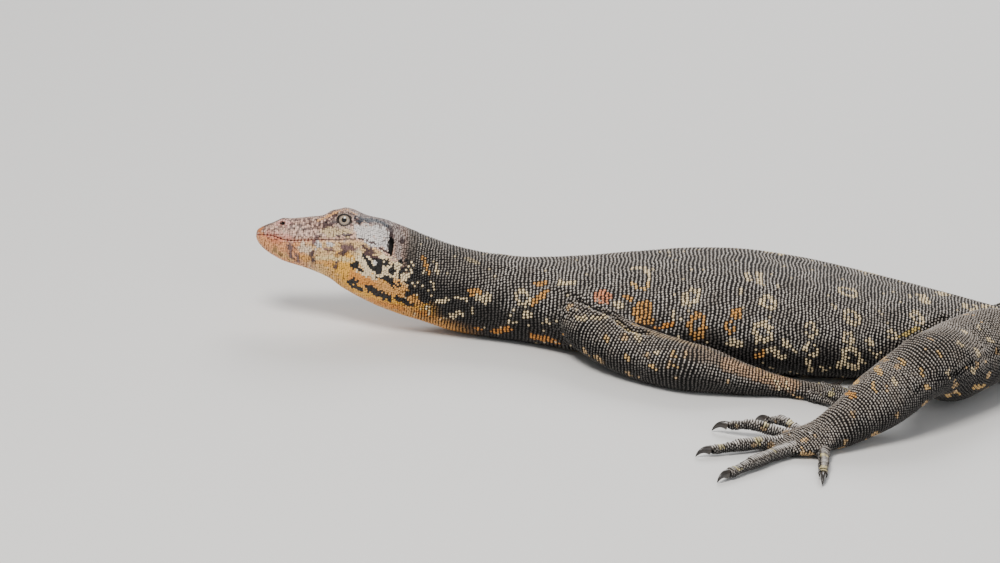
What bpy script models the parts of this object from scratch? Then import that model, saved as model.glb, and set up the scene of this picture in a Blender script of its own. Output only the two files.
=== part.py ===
"""Water monitor lizard, a still model at life size, lying on its belly.

The arms lie back along the flanks, the left hind foot rests forward and outward, the right hind leg trails
back, and the tail runs out behind in a slow S. Metres, +Z up. The snout points to -X, the tail to +X and
the animal's left side to -Y. The origin is on the floor under the middle of the belly. The tables are in
millimetres, which MM turns into metres.
"""
import math

import bmesh
import bpy
import numpy as np
from mathutils import Matrix, Vector

MM = 0.001
GAP = 0.3                       # between pieces that touch
UP = np.array((0.0, 0.0, 1.0))
SIDES = (("left", -1.0), ("right", 1.0))

# Lengths of the body
SNOUT = -335.0                  # front of the snout
NECK_CUT = -232.0               # behind the ears
CHEST_CUT = -128.0              # in front of the shoulders
TAIL_CUT = 184.0                # behind the thighs
TAIL_CUTS = (330.0, 510.0, 720.0)
TAIL_END = 934.0
NOSE_LENGTH = 12.0              # over which the snout rounds off
TAIL_SWAY = math.radians(-24.0)  # greatest heading of the tail's S
TAIL_WAVE = 640.0               # length of one S

# Sections: station, level of the widest part, top, underside, half width
BODY = (
    (-335, 57.3, 64.3, 47.8, 9.8), (-326, 57.1, 65.7, 45.2, 11.3), (-316, 57.1, 69.0, 40.8, 12.8),
    (-302, 57.5, 71.2, 37.5, 15.0), (-293, 57.9, 72.8, 35.0, 16.9), (-284, 58.2, 77.5, 31.5, 18.8),
    (-275, 57.4, 79.0, 25.9, 20.4), (-262, 53.0, 75.5, 19.6, 23.0), (-250, 48.2, 73.5, 14.8, 24.4),
    (-236, 42.1, 69.0, 10.6, 23.8), (-218, 34.8, 63.0, 6.0, 23.3), (-200, 29.8, 58.2, 1.4, 24.0),
    (-180, 27.8, 55.2, -0.8, 25.2), (-155, 26.8, 53.8, -1.5, 29.0), (-135, 26.0, 54.6, -1.5, 35.5),
    (-111, 26.0, 56.3, -1.8, 46.0), (-78, 27.0, 60.8, -2.0, 54.0), (-38, 28.0, 66.0, -2.2, 60.0),
    (-8, 28.0, 67.4, -2.2, 62.0), (29, 26.5, 65.0, -2.0, 61.0), (63, 24.5, 60.5, -2.0, 57.0),
    (97, 22.5, 55.5, -1.8, 49.0), (131, 21.0, 50.0, -1.5, 41.0), (165, 19.0, 44.0, -1.2, 34.0),
    (184, 18.5, 41.5, -1.0, 29.5), (220, 17.5, 38.8, -0.8, 24.0), (300, 16.0, 35.0, -0.6, 17.5),
    (400, 13.5, 29.5, -0.5, 13.0), (550, 10.0, 22.0, -0.4, 8.5), (700, 6.5, 15.0, -0.3, 5.5),
    (850, 3.4, 8.0, -0.2, 3.0), (934, 1.4, 3.0, -0.1, 1.2),
)
# Powers of the upper and lower half of each section: 2 is an ellipse, more is boxier, less is keeled
UPPER_POWER = (
    (-335, 2.2), (-310, 2.6), (-277, 3.4), (-250, 2.6), (-218, 2.2), (165, 2.1), (300, 1.7), (934, 1.8),
)
LOWER_POWER = (
    (-335, 2.2), (-277, 1.9), (-218, 2.0), (-165, 2.3), (-38, 2.7), (165, 2.5), (300, 2.2), (934, 2.0),
)
ROLL = ((-335, 16), (-245, 16), (-150, 0), (934, 0))       # degrees that the left side is turned up

# Head relief on both sides: station, height above the widest level, reach along, reach up, raise
RELIEF = {
    "brow": (-275.0, 19.5, 9.0, 3.0, 0.8),
    "canthus": (-294.0, 11.5, 11.0, 2.6, 0.9),
    "eye hollow": (-277.0, 12.0, 7.5, 6.0, -1.4),
    "loreal hollow": (-297.0, 7.0, 9.0, 3.5, -1.0),
    "nostril swelling": (-318.0, 8.5, 4.5, 3.6, 1.3),
    "temple hollow": (-259.0, 13.0, 6.0, 5.0, -0.9),
    "jaw muscle": (-254.0, -2.0, 9.0, 10.0, 1.6),
    "ear hollow": (-244.5, 13.0, 3.2, 8.0, -1.5),
}
# Line of the mouth: station, height above the widest level
MOUTH = (
    (-335, 0), (-326, 0.7), (-314, -1.6), (-303, -1.0), (-293, -0.2), (-281, 0.7), (-270, 4.0), (-262, 6.8),
    (-236, 0),
)
MOUTH_CORNER = -266.0
MOUTH_FADE = 10.0
MOUTH_DEPTH, MOUTH_HALF_WIDTH = 1.5, 1.0
LIP_RAISE, LIP_OFFSET, LIP_HALF_WIDTH = 0.8, 2.6, 1.4

EYE_CENTRE = (-276.2, 12.2, 14.0)     # station, out from the middle, above the widest level
EYE_RADIUS = 6.0
EYE_RAISED, EYE_FORWARD = math.radians(9.0), math.radians(8.0)
LID_THICKNESS = 1.1
LID_OPENING = (3.7, 4.6, 7.0)           # half height, half width, and depth from the front of the eye
NOSTRIL = ((-318.0, 10.0, 9.4), (2.1, 3.2, 1.5))          # centre, half sizes
EAR = ((-244.5, 22.2, 12.0), (2.3, 4.0, 7.4))

# Limbs: x, out from the middle, height, half width, half height
ARM = (
    (-118, 26, 28, 15, 17), (-103, 47, 23, 16.5, 17), (-68, 68, 17.5, 17.5, 17.3),
    (-36, 79, 15.8, 15.5, 16),
    (-4, 78.5, 10.5, 11.5, 10.5), (24, 76.5, 6.6, 7.2, 6.4), (36, 76, 5.4, 9.5, 5.4),
    (47, 75.5, 4.4, 9.5, 4.4), (54, 75.5, 3.2, 5, 2.6),
)
LEFT_LEG = (
    (172, 12, 30, 18, 20), (156, 35, 31, 25, 25), (135, 67, 31, 26, 26.5), (116, 101, 38.5, 21, 21),
    (88, 133, 26, 20.5, 20), (60, 162, 13.8, 14.5, 14.2), (46, 171, 8.8, 16, 8.8), (33, 179, 6, 17, 6),
    (24, 185, 4.4, 12, 4.2), (19, 188, 3.2, 5, 2.6),
)
RIGHT_LEG = (
    (170, 12, 26, 18, 19), (192, 36, 24, 23, 21), (209, 64, 24, 23, 22), (224, 90, 28, 19, 19),
    (255, 114, 20, 18, 17), (286, 138, 12.5, 13, 13), (295, 150, 8.6, 15, 8.6), (303, 161, 6, 16, 6),
    (309, 169, 4.4, 11, 4.2), (312, 173, 3.2, 5, 2.6),
)
UPPER_JOINT, LOWER_JOINT = 3, 5        # rows at the elbow or knee, and at the wrist or ankle
RIGHT_ARM_TURN = math.radians(5.0)
SHOULDER_PIVOT = (-110.0, 36.0)

# Digits, from a root just past the wrist or ankle: knuckle and tip, each ahead and sideways, radius, arch
DIGIT_ROOT = {"hand": 10.0, "foot": 14.0}
FINGERS = (
    (9, -9, 23, -15, 3.6, 1.2), (15, -5, 34, -10, 3.8, 1.6), (17, 0, 41, 0, 3.9, 1.6),
    (15, 5, 38, 10, 3.8, 1.4), (9, 9, 23, 18, 3.6, 1.0),
)
TOES = (
    (5, -22, 14, -45, 4.6, 5.0), (20, -22, 45, -45, 4.7, 5.0), (32, -10, 78, -14, 4.8, 1.5),
    (32, 6, 90, 27, 5.0, 1.2), (9, 18, 31, 51, 4.4, 1.0),
)
DIGIT_TAPER = 0.74                     # tip radius against knuckle radius
DIGIT_REST = 0.94                      # height of a digit's middle over the floor, against its radius
ARCH_ENDS = 0.4                        # share of the arch that knuckle and tip keep
DIGIT_RINGS = 9
KNUCKLES = 3
KNUCKLE_SWELL = 0.07
CLAW_LENGTH = {"hand": 8.5, "foot": 11.0}
CLAW_FIT = 0.86                        # claw root against the digit's tip
CLAW_FLATNESS = 0.72                   # width against height
CLAW_LIFT = 0.10                       # arch of the claw over its chord, against its length
CLAW_TUCK = 0.12                       # by how much its hook shortens it
CLAW_RAISE = 0.45                      # rise of the claws of the hand that lies palm up
CLAW_TIP_HEIGHT = 0.7
CLAW_STEPS = 6                         # points along a claw
CLAW_TAPER = 0.7                       # power by which it narrows: 1 is a cone, less is blunter

SPINE_STEPS = 1200
NOSE_ANGLES = (14, 30, 46, 62, 78)     # degrees round the snout's tip, one ring at each
HEAD_STEP, NECK_STEP, TORSO_STEP = 2.9, 9.0, 11.5
TAIL_ROWS = 14                         # rings of each length of tail behind its base
TRUNK_COLUMNS, TAIL_COLUMNS = 32, 20
LIMB_SIDES, DIGIT_SIDES, CLAW_SIDES = 14, 7, 7
LIMB_STEPS = 3                         # rings for each row of a limb
BALL_SEGMENTS = {"lids": 18, "opening": 16, "socket": 14, "eye": 14, "nostril": 10, "ear": 10}
SHARP = math.radians(50.0)             # faces that meet at more than this are shaded apart
WELD = 0.002                           # points closer than this are one

COLOURS = {
    "hide": (0.045, 0.040, 0.036), "head": (0.30, 0.21, 0.13), "limb": (0.060, 0.050, 0.042),
    "eye": (0.55, 0.50, 0.38), "claw": (0.020, 0.015, 0.012),
}
ROUGHNESS = {"hide": 0.55, "head": 0.55, "limb": 0.55, "eye": 0.12, "claw": 0.30}


def smooth(table, at):
    """Smooth curves through rows of (place, value, ...), one row of values for each place asked for.

    Each piece is a cubic. Its slope at a row is the harmonic mean of the chords on both sides, or level
    where the values turn, so the curve never swings past its rows.
    """
    table, at = np.asarray(table, float), np.atleast_1d(np.asarray(at, float))
    knots, values = table[:, 0], table[:, 1:]
    step = np.diff(knots)[:, None]
    chord = np.diff(values, axis=0) / step
    before, after = chord[:-1], chord[1:]
    rising = before * after > 0
    inner = np.where(rising, 2 * before * after / np.where(rising, before + after, 1.0), 0.0)
    slope = np.vstack((chord[:1], inner, chord[-1:]))
    row = np.clip(np.searchsorted(knots, at) - 1, 0, len(step) - 1)
    width = step[row]
    part = np.clip((at - knots[row])[:, None] / width, 0.0, 1.0)
    square, cube = part ** 2, part ** 3
    return (
        (2 * cube - 3 * square + 1) * values[row] + (3 * square - 2 * cube) * values[row + 1]
        + (cube - 2 * square + part) * width * slope[row] + (cube - square) * width * slope[row + 1]
    )


def spine(stations):
    """Place in plan and heading at each station: straight along X, then the S, a sine of its length."""
    lengths = np.linspace(TAIL_CUT, TAIL_END, SPINE_STEPS)
    headings = TAIL_SWAY * np.sin(2 * math.pi * (lengths - TAIL_CUT) / TAIL_WAVE)
    step = lengths[1] - lengths[0]
    x = TAIL_CUT + np.concatenate(([0], np.cumsum(np.cos(headings[:-1]) * step)))
    y = np.concatenate(([0], np.cumsum(np.sin(headings[:-1]) * step)))
    ahead = stations < TAIL_CUT
    return (
        np.where(ahead, stations, np.interp(stations, lengths, x)),
        np.where(ahead, 0.0, np.interp(stations, lengths, y)),
        np.where(ahead, 0.0, np.interp(stations, lengths, headings)),
    )


def bell(value, reach):
    """Bell curve, 1 in the middle, that has almost gone at twice its reach."""
    return np.exp(-(value / reach) ** 2)


def head_relief(stations, above):
    """Raise of the skin over the plain section: bells for brow, hollows and muscle, then lips and mouth."""
    raised = np.zeros_like(above)
    for place, height, along, upward, amount in RELIEF.values():
        raised += amount * bell(stations - place, along) * bell(above - height, upward)
    fade = np.clip((MOUTH_CORNER - stations) / MOUTH_FADE, 0, 1)
    from_mouth = above - smooth(MOUTH, stations[:, 0])
    raised += fade * LIP_RAISE * bell(np.abs(from_mouth) - LIP_OFFSET, LIP_HALF_WIDTH)
    raised -= fade * MOUTH_DEPTH * bell(from_mouth, MOUTH_HALF_WIDTH)
    return raised


def grid_normals(points):
    """Outward directions of a grid of points whose columns close on themselves."""
    along = np.gradient(points, axis=0)
    around = np.roll(points, -1, axis=1) - np.roll(points, 1, axis=1)
    normals = np.cross(around, along)
    return normals / np.maximum(np.linalg.norm(normals, axis=2, keepdims=True), 1e-9)


def stand_up(stations, out, above):
    """Turns section coordinates by the roll and sets them upright on the spine, above the floor."""
    roll = np.radians(smooth(ROLL, stations[:, 0]))
    level = smooth(BODY, stations[:, 0])[:, :1]
    across = out * np.cos(roll) + above * np.sin(roll)
    height = level - out * np.sin(roll) + above * np.cos(roll)
    x, y, heading = (value[:, None] for value in spine(stations[:, 0]))
    lead = stations - stations[:, :1]
    return np.stack((
        x + lead - across * np.sin(heading), y + across * np.cos(heading), np.maximum(height, 0.0),
    ), axis=2)


def body_grid(stations, angles, grow=0.0, relief=False):
    """Points of the trunk, one row for each station and one column for each angle from the right side up.

    A section is two half superellipses that meet at its widest level. The snout shrinks to its tip as a
    quarter ellipse does. Relief moves points along the surface's own outward direction.
    """
    level, top, under, half = (column[:, None] for column in smooth(BODY, stations).T)
    cosine, sine = np.cos(angles), np.sin(angles)
    power = np.where(sine >= 0, smooth(UPPER_POWER, stations), smooth(LOWER_POWER, stations))
    part = np.clip((stations[:, None] - SNOUT) / NOSE_LENGTH, 0.0, 1.0)
    rounding = np.sqrt(1 - (1 - part) ** 2)
    reach = np.where(sine >= 0, top - level, level - under) + grow
    out = rounding * (half + grow) * np.sign(cosine) * np.abs(cosine) ** (2 / power)
    above = rounding * reach * np.sign(sine) * np.abs(sine) ** (2 / power)
    along = np.repeat(stations[:, None], angles.shape[-1], axis=1)
    if relief:
        points = np.stack((along, out, above), axis=2)
        points += grid_normals(points) * head_relief(along, above)[:, :, None]
        points[:, :, 0] = along
        out, above = points[:, :, 1], points[:, :, 2]
    return stand_up(along, out, above)


def even_angles(columns):
    """Even turns round a section, as one row."""
    return np.arange(columns)[None, :] * 2 * math.pi / columns


def head_angles(stations):
    """Columns at fixed parts of the height above and below the mouth line, as angles of the section."""
    upper = np.array((0.0, 0.10, 0.24, 0.40, 0.56, 0.72, 0.86, 0.95, 0.995))
    lower = np.array((0.06, 0.16, 0.32, 0.52, 0.74, 0.90, 0.985))
    level, top, under, _ = (column[:, None] for column in smooth(BODY, stations).T)
    mouth = smooth(MOUTH, stations)
    over = mouth + (top - level - mouth) * upper
    below = mouth - (level - under + mouth) * lower
    heights = np.hstack((below[:, ::-1], over))
    power = np.where(heights >= 0, smooth(UPPER_POWER, stations), smooth(LOWER_POWER, stations))
    share = np.abs(heights) / np.where(heights >= 0, top - level, level - under)
    right = np.sign(heights) * np.arcsin(np.minimum(share, 1.0) ** (power / 2))
    quarter = np.full((len(stations), 1), math.pi / 2)
    return np.hstack((-quarter, right, quarter, math.pi - right[:, ::-1]))


def rows(start, end, step):
    """Even stations from start to end, about a step apart."""
    return np.linspace(start, end, max(2, round((end - start) / step) + 1))


def mesh_object(name, vertices, faces, collection, material=None):
    """Object of a closed mesh, made from millimetres, with its faces turned outwards and shaded smooth."""
    mesh = bpy.data.meshes.new(name)
    mesh.from_pydata((np.asarray(vertices) * MM).tolist(), [], faces)
    working = bmesh.new()
    working.from_mesh(mesh)
    bmesh.ops.recalc_face_normals(working, faces=working.faces)
    working.to_mesh(mesh)
    working.free()
    mesh.shade_smooth()
    mesh.set_sharp_from_angle(angle=SHARP)
    made = bpy.data.objects.new(name, mesh)
    if material:
        mesh.materials.append(material)
    collection.objects.link(made)
    return made


def loft(name, rings, collection, material=None, tip=None, end=None):
    """Closed solid through rings of points. An end is a fan to the ring's middle, or to a point given."""
    count, sides = rings.shape[:2]
    first = rings[0].mean(axis=0) if tip is None else np.asarray(tip)
    last = rings[-1].mean(axis=0) if end is None else np.asarray(end)
    vertices = np.vstack((rings.reshape(-1, 3), first, last))
    faces = []
    for side in range(sides):
        beside = (side + 1) % sides
        faces.append((count * sides, beside, side))
        faces.append((count * sides + 1, (count - 1) * sides + side, (count - 1) * sides + beside))
        for row in range(count - 1):
            low, high = row * sides, (row + 1) * sides
            faces.append((low + side, low + beside, high + beside, high + side))
    return mesh_object(name, vertices, faces, collection, material)


def sweep(centres, widths, heights, sides, first=None):
    """Rings of an oval tube. Each stands square to the path, its width level, and stays above the floor."""
    tangents = np.gradient(centres, axis=0)
    if first is not None:
        tangents[0] = first
    tangents /= np.linalg.norm(tangents, axis=1, keepdims=True)
    level = np.cross(UP, tangents)
    level /= np.linalg.norm(level, axis=1, keepdims=True)
    upright = np.cross(tangents, level)
    turn = (np.arange(sides) + 0.5) * 2 * math.pi / sides
    rings = (
        centres[:, None] + level[:, None] * (widths[:, None] * np.cos(turn))[:, :, None]
        + upright[:, None] * (heights[:, None] * np.sin(turn))[:, :, None]
    )
    rings[:, :, 2] = np.maximum(rings[:, :, 2], 0.0)
    return rings, tangents


def placed(points, side, pivot, turn):
    """Turns (x, out, ...) rows in plan about a pivot, by a positive turn outwards, and puts out on a side."""
    points = np.array(points, float)
    x, out = points[:, 0] - pivot[0], points[:, 1] - pivot[1]
    points[:, 0] = pivot[0] + x * math.cos(turn) - out * math.sin(turn)
    points[:, 1] = side * (pivot[1] + x * math.sin(turn) + out * math.cos(turn))
    return points


def apply_modifiers(body):
    """Keeps the evaluated mesh, and of that only its largest closed surface."""
    bpy.context.view_layer.update()
    graph = bpy.context.evaluated_depsgraph_get()
    mesh = bpy.data.meshes.new_from_object(body.evaluated_get(graph))
    body.modifiers.clear()
    body.data = mesh
    working = bmesh.new()
    working.from_mesh(mesh)
    bmesh.ops.remove_doubles(working, verts=working.verts, dist=WELD * MM)
    bmesh.ops.dissolve_degenerate(working, edges=working.edges, dist=WELD * MM)
    working.verts.ensure_lookup_table()
    left, surfaces = set(working.verts), []
    while left:
        waiting, found = [next(iter(left))], set()
        while waiting:
            vertex = waiting.pop()
            if vertex not in found:
                found.add(vertex)
                waiting.extend(edge.other_vert(vertex) for edge in vertex.link_edges)
        left -= found
        surfaces.append(found)
    surfaces.sort(key=len)
    for scrap in surfaces[:-1]:
        bmesh.ops.delete(working, geom=list(scrap), context="VERTS")
    working.to_mesh(mesh)
    working.free()
    mesh.shade_smooth()
    mesh.set_sharp_from_angle(angle=SHARP)


def combine(body, pieces, operation, cutters):
    """One Boolean of a body with a collection of closed pieces, which is applied; the pieces are removed."""
    group = bpy.data.collections.new(body.name + "_pieces")
    cutters.children.link(group)
    for piece in pieces:
        cutters.objects.unlink(piece)
        group.objects.link(piece)
    boolean = body.modifiers.new(operation.lower(), "BOOLEAN")
    boolean.operation = operation
    boolean.operand_type = "COLLECTION"
    boolean.collection = group
    boolean.solver = "EXACT"
    apply_modifiers(body)
    for piece in pieces:
        bpy.data.objects.remove(piece)
    bpy.data.collections.remove(group)


def hidden(cutter):
    """A cutter, kept out of renders and drawn as wires."""
    cutter.hide_render = True
    cutter.display_type = "WIRE"
    return cutter


def head_frame(place, side):
    """Matrix whose origin is a place on the head's side; its axes point back, out from the side, and up."""
    station, out, above = place
    roll = math.radians(float(smooth(ROLL, station)[0, 0]))
    level = float(smooth(BODY, station)[0, 0])
    outward = side * out
    across = outward * math.cos(roll) + above * math.sin(roll)
    height = level - outward * math.sin(roll) + above * math.cos(roll)
    centre = Vector((station, across, height)) * MM
    return Matrix.Translation(centre) @ Matrix.Rotation(-roll, 4, "X")


def eye_frame(side):
    """Frame of an eyeball, its Z axis along the line of sight, a little forward and up."""
    sight = Vector((-math.sin(EYE_FORWARD), side * math.cos(EYE_FORWARD), math.tan(EYE_RAISED)))
    turn = sight.to_track_quat("Z", "X").to_matrix().to_4x4()
    return head_frame(EYE_CENTRE, side) @ turn


def ball(name, kind, matrix, half_sizes, collection, material=None):
    """Ellipsoid of the given half sizes in a frame."""
    segments = BALL_SEGMENTS[kind]
    working = bmesh.new()
    bmesh.ops.create_uvsphere(working, u_segments=segments, v_segments=segments // 2 + 2, radius=MM)
    mesh = bpy.data.meshes.new(name)
    working.to_mesh(mesh)
    working.free()
    mesh.transform(matrix @ Matrix.Diagonal((*half_sizes, 1.0)))
    if material:
        mesh.materials.append(material)
    mesh.shade_smooth()
    made = bpy.data.objects.new(name, mesh)
    collection.objects.link(made)
    return made


def make_lids(side, collection):
    """Both lids of an eye as one ball that the socket and the opening are then cut from."""
    half_sizes = (EYE_RADIUS + GAP + LID_THICKNESS,) * 3
    return ball("lids", "lids", eye_frame(side), half_sizes, collection)


def make_head(parts, cutters, materials):
    """Head with lids, nostrils and ears, and an eyeball in each socket."""
    nose = SNOUT + NOSE_LENGTH * (1 - np.cos(np.radians(NOSE_ANGLES)))
    stations = np.concatenate((nose, rows(SNOUT + NOSE_LENGTH, NECK_CUT - GAP / 2, HEAD_STEP)))
    grid = body_grid(stations, head_angles(stations), relief=True)
    tip = stand_up(np.array([[SNOUT]]), np.zeros((1, 1)), np.zeros((1, 1)))[0, 0]
    head = loft("head", grid, parts, materials["head"], tip=tip)
    combine(head, [make_lids(side, cutters) for _, side in SIDES], "UNION", cutters)
    hollows = []
    for name, side in SIDES:
        socket = (EYE_RADIUS + GAP,) * 3
        opening_frame = eye_frame(side) @ Matrix.Translation((0.0, 0.0, EYE_RADIUS * MM))
        hollows.append(hidden(ball("socket_" + name, "socket", eye_frame(side), socket, cutters)))
        hollows.append(hidden(ball("opening_" + name, "opening", opening_frame, LID_OPENING, cutters)))
        for kind, (place, half_sizes) in (("nostril", NOSTRIL), ("ear", EAR)):
            frame = head_frame(place, side)
            hollows.append(hidden(ball(kind + "_" + name, kind, frame, half_sizes, cutters)))
    combine(head, hollows, "DIFFERENCE", cutters)
    for name, side in SIDES:
        ball("eye_" + name, "eye", eye_frame(side), (EYE_RADIUS,) * 3, parts, materials["eye"])


def trunk_stations():
    """Stations of the neck, the torso and the first length of tail, each from cut to cut."""
    return {
        "neck": rows(NECK_CUT + GAP / 2, CHEST_CUT - GAP / 2, NECK_STEP),
        "torso": rows(CHEST_CUT + GAP / 2, TAIL_CUT - GAP / 2, TORSO_STEP),
        "tail_base": rows(TAIL_CUT + GAP / 2, TAIL_CUTS[0] - GAP / 2, TORSO_STEP),
    }


def make_trunk(parts, materials):
    """Neck, torso and four lengths of tail."""
    for name, stations in trunk_stations().items():
        loft(name, body_grid(stations, even_angles(TRUNK_COLUMNS)), parts, materials["hide"])
    names = ("tail_middle", "tail_rear", "tail_tip")
    for name, start, end in zip(names, TAIL_CUTS, TAIL_CUTS[1:] + (TAIL_END,)):
        stations = np.linspace(start + GAP / 2, end - GAP / 2, TAIL_ROWS)
        loft(name, body_grid(stations, even_angles(TAIL_COLUMNS)), parts, materials["hide"])


def trunk_cutter(cutters):
    """Neck, torso and tail base as one solid, grown by the gap, for the roots of the limbs."""
    stations = np.concatenate(list(trunk_stations().values()))
    return hidden(loft("trunk_cutter", body_grid(stations, even_angles(TRUNK_COLUMNS), grow=GAP), cutters))


def along_path(table, count):
    """Evenly counted points between the rows of a path, with what goes with them, by length along it."""
    chords = np.linalg.norm(np.diff(table[:, :3], axis=0), axis=1)
    knots = np.concatenate(([0], np.cumsum(chords)))
    spread = np.interp(np.linspace(0, len(knots) - 1, count), np.arange(len(knots)), knots)
    return smooth(np.column_stack((knots, table)), spread)


def limb_lengths(table):
    """Rings of a limb's three lengths. At a joint both neighbours end on one ring, moved apart by the gap."""
    values = along_path(table, (len(table) - 1) * LIMB_STEPS + 1)
    rings, tangents = sweep(values[:, :3], values[:, 3], values[:, 4], LIMB_SIDES)
    lengths, bounds = [], (0, UPPER_JOINT * LIMB_STEPS, LOWER_JOINT * LIMB_STEPS, len(values) - 1)
    for start, end in zip(bounds, bounds[1:]):
        part = rings[start:end + 1].copy()
        if start:
            part[0] += tangents[start] * GAP / 2
        if end < len(values) - 1:
            part[-1] -= tangents[end] * GAP / 2
        lengths.append(part)
    return lengths


def digit(row, root, ahead, sideways):
    """Rings of a finger or toe from its root in the hand or foot, over the knuckle, to its blunt tip."""
    knuckle_ahead, knuckle_aside, tip_ahead, tip_aside, radius, arch = row
    knuckle = root + ahead * knuckle_ahead + sideways * knuckle_aside
    end = root + ahead * tip_ahead + sideways * tip_aside
    tip = radius * DIGIT_TAPER
    middle = (radius + tip) / 2
    table = np.array((
        (*root, radius * DIGIT_REST, radius),
        (*knuckle, radius * DIGIT_REST + arch * ARCH_ENDS, radius),
        (*(knuckle + end) / 2, middle * DIGIT_REST + arch, middle),
        (*end, tip * DIGIT_REST + arch * ARCH_ENDS, tip),
    ))
    values = along_path(table, DIGIT_RINGS)
    swell = 1 + KNUCKLE_SWELL * np.cos(np.linspace(0, 2 * math.pi * KNUCKLES, DIGIT_RINGS))
    return sweep(values[:, :3], values[:, 3] * swell, values[:, 3] * swell, DIGIT_SIDES)


def claw(name, tip_ring, tangent, length, raised, parts, material):
    """Hooked claw on a digit's blunt end: it arches forward and runs down to its point, or up when raised."""
    centre = tip_ring.mean(axis=0)
    forward = np.array((tangent[0], tangent[1], 0.0))
    forward /= np.linalg.norm(forward)
    part = np.linspace(0, 1, CLAW_STEPS)[:, None]
    start = centre + tangent * GAP
    drop = -length * CLAW_RAISE if raised else start[2] - CLAW_TIP_HEIGHT
    lift = CLAW_LIFT * length * np.sin(math.pi * part)
    centres = start + forward * length * (part - CLAW_TUCK * part ** 3) + UP * (lift - drop * part ** 2)
    radius = np.ptp(tip_ring[:, 2]) / 2 * CLAW_FIT
    size = radius * (1 - part[:-1, 0]) ** CLAW_TAPER
    rings, _ = sweep(centres[:-1], size * CLAW_FLATNESS, size, CLAW_SIDES, first=tangent)
    loft(name, rings, parts, material, end=centres[-1])


def make_limb(table, names, digit_rows, palm_up, parts, cutters, materials):
    """One limb: upper and lower length, then the hand or foot with its digits fused on, and five claws."""
    end = names[2].split("_")[0]
    made = [loft(name, rings, parts, materials["limb"]) for name, rings in zip(names, limb_lengths(table))]
    combine(made[0], [trunk_cutter(cutters)], "DIFFERENCE", cutters)
    ahead = table[-1, :2] - table[LOWER_JOINT, :2]
    ahead /= np.linalg.norm(ahead)
    root = table[LOWER_JOINT, :2] + ahead * DIGIT_ROOT[end]
    across = np.array((ahead[1], -ahead[0])) * math.copysign(1.0, table[0, 1]) * (-1 if palm_up else 1)
    digits = []
    for number, row in enumerate(digit_rows, 1):
        rings, tangents = digit(row, root, ahead, across)
        digits.append(hidden(loft("digit", rings, cutters)))
        name = f"claw_{names[2]}_{number}"
        claw(name, rings[-1], tangents[-1], CLAW_LENGTH[end], palm_up, parts, materials["claw"])
    combine(made[2], digits, "UNION", cutters)


def make_limbs(parts, cutters, materials):
    """Both arms laid back, the left palm up, and both hind legs."""
    for name, side in SIDES:
        turn = RIGHT_ARM_TURN if name == "right" else 0.0
        arm = placed(ARM, side, SHOULDER_PIVOT, turn)
        names = [part + "_" + name for part in ("upper_arm", "forearm", "hand")]
        make_limb(arm, names, FINGERS, name == "left", parts, cutters, materials)
        leg = placed(LEFT_LEG if name == "left" else RIGHT_LEG, side, (0.0, 0.0), 0.0)
        names = [part + "_" + name for part in ("thigh", "shank", "foot")]
        make_limb(leg, names, TOES, False, parts, cutters, materials)


def make_materials():
    """One Principled material for each kind of surface."""
    materials = {}
    for name, colour in COLOURS.items():
        material = bpy.data.materials.new(name)
        material.use_nodes = True
        shader = material.node_tree.nodes["Principled BSDF"]
        shader.inputs["Base Color"].default_value = (*colour, 1.0)
        shader.inputs["Roughness"].default_value = ROUGHNESS[name]
        shader.inputs["Metallic"].default_value = 0.0
        materials[name] = material
    return materials


def make_collection(name):
    """New collection in the scene's own."""
    collection = bpy.data.collections.new(name)
    bpy.context.scene.collection.children.link(collection)
    return collection


def main():
    """Removes what is in the scene and builds the animal."""
    for old in list(bpy.data.objects):
        bpy.data.objects.remove(old, do_unlink=True)
    parts, cutters = make_collection("water_monitor"), make_collection("cutters")
    materials = make_materials()
    make_head(parts, cutters, materials)
    make_trunk(parts, materials)
    make_limbs(parts, cutters, materials)


main()
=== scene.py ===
"""Looks of the water monitor lizard: one skin under a coat of scales, wet eyes, horn claws, a pale studio."""
import math

import bmesh
import bpy
import numpy as np
from mathutils import Matrix, Vector
from mathutils.bvhtree import BVHTree
from mathutils.kdtree import KDTree


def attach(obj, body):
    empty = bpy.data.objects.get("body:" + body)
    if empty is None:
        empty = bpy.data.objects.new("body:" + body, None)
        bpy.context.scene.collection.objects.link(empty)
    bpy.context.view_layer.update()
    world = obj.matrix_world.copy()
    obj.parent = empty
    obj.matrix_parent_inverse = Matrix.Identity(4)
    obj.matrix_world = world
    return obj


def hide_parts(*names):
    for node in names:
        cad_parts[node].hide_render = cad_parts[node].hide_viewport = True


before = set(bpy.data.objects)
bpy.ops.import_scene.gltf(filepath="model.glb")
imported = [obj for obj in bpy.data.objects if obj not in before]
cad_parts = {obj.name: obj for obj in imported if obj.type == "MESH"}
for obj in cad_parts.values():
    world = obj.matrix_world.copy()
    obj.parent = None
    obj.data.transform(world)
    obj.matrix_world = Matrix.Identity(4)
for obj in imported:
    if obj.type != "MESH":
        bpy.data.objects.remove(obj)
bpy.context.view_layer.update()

MM = 0.001
SEED = 7

# Camera, fitted to the photograph: it looks along +Y, down on the animal and a little rolled
PICTURE = (1000, 563)
LOOK_BELOW = 30
VIEW_CENTRE = Vector((-0.170, 0.0, 0.0371))
VIEW_WIDTH = 0.670
VIEW_DISTANCE = 7.0
VIEW_DOWN = math.radians(20.0)
VIEW_ROLL = math.radians(4.5)
SENSOR = 36.0
WORLD_COLOUR, WORLD_STRENGTH = (0.90, 0.92, 0.95, 1.0), 0.46
FLOOR_COLOUR, FLOOR_ROUGHNESS, FLOOR_REACH = (0.78, 0.77, 0.75, 1.0), 0.6, 15.0
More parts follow.
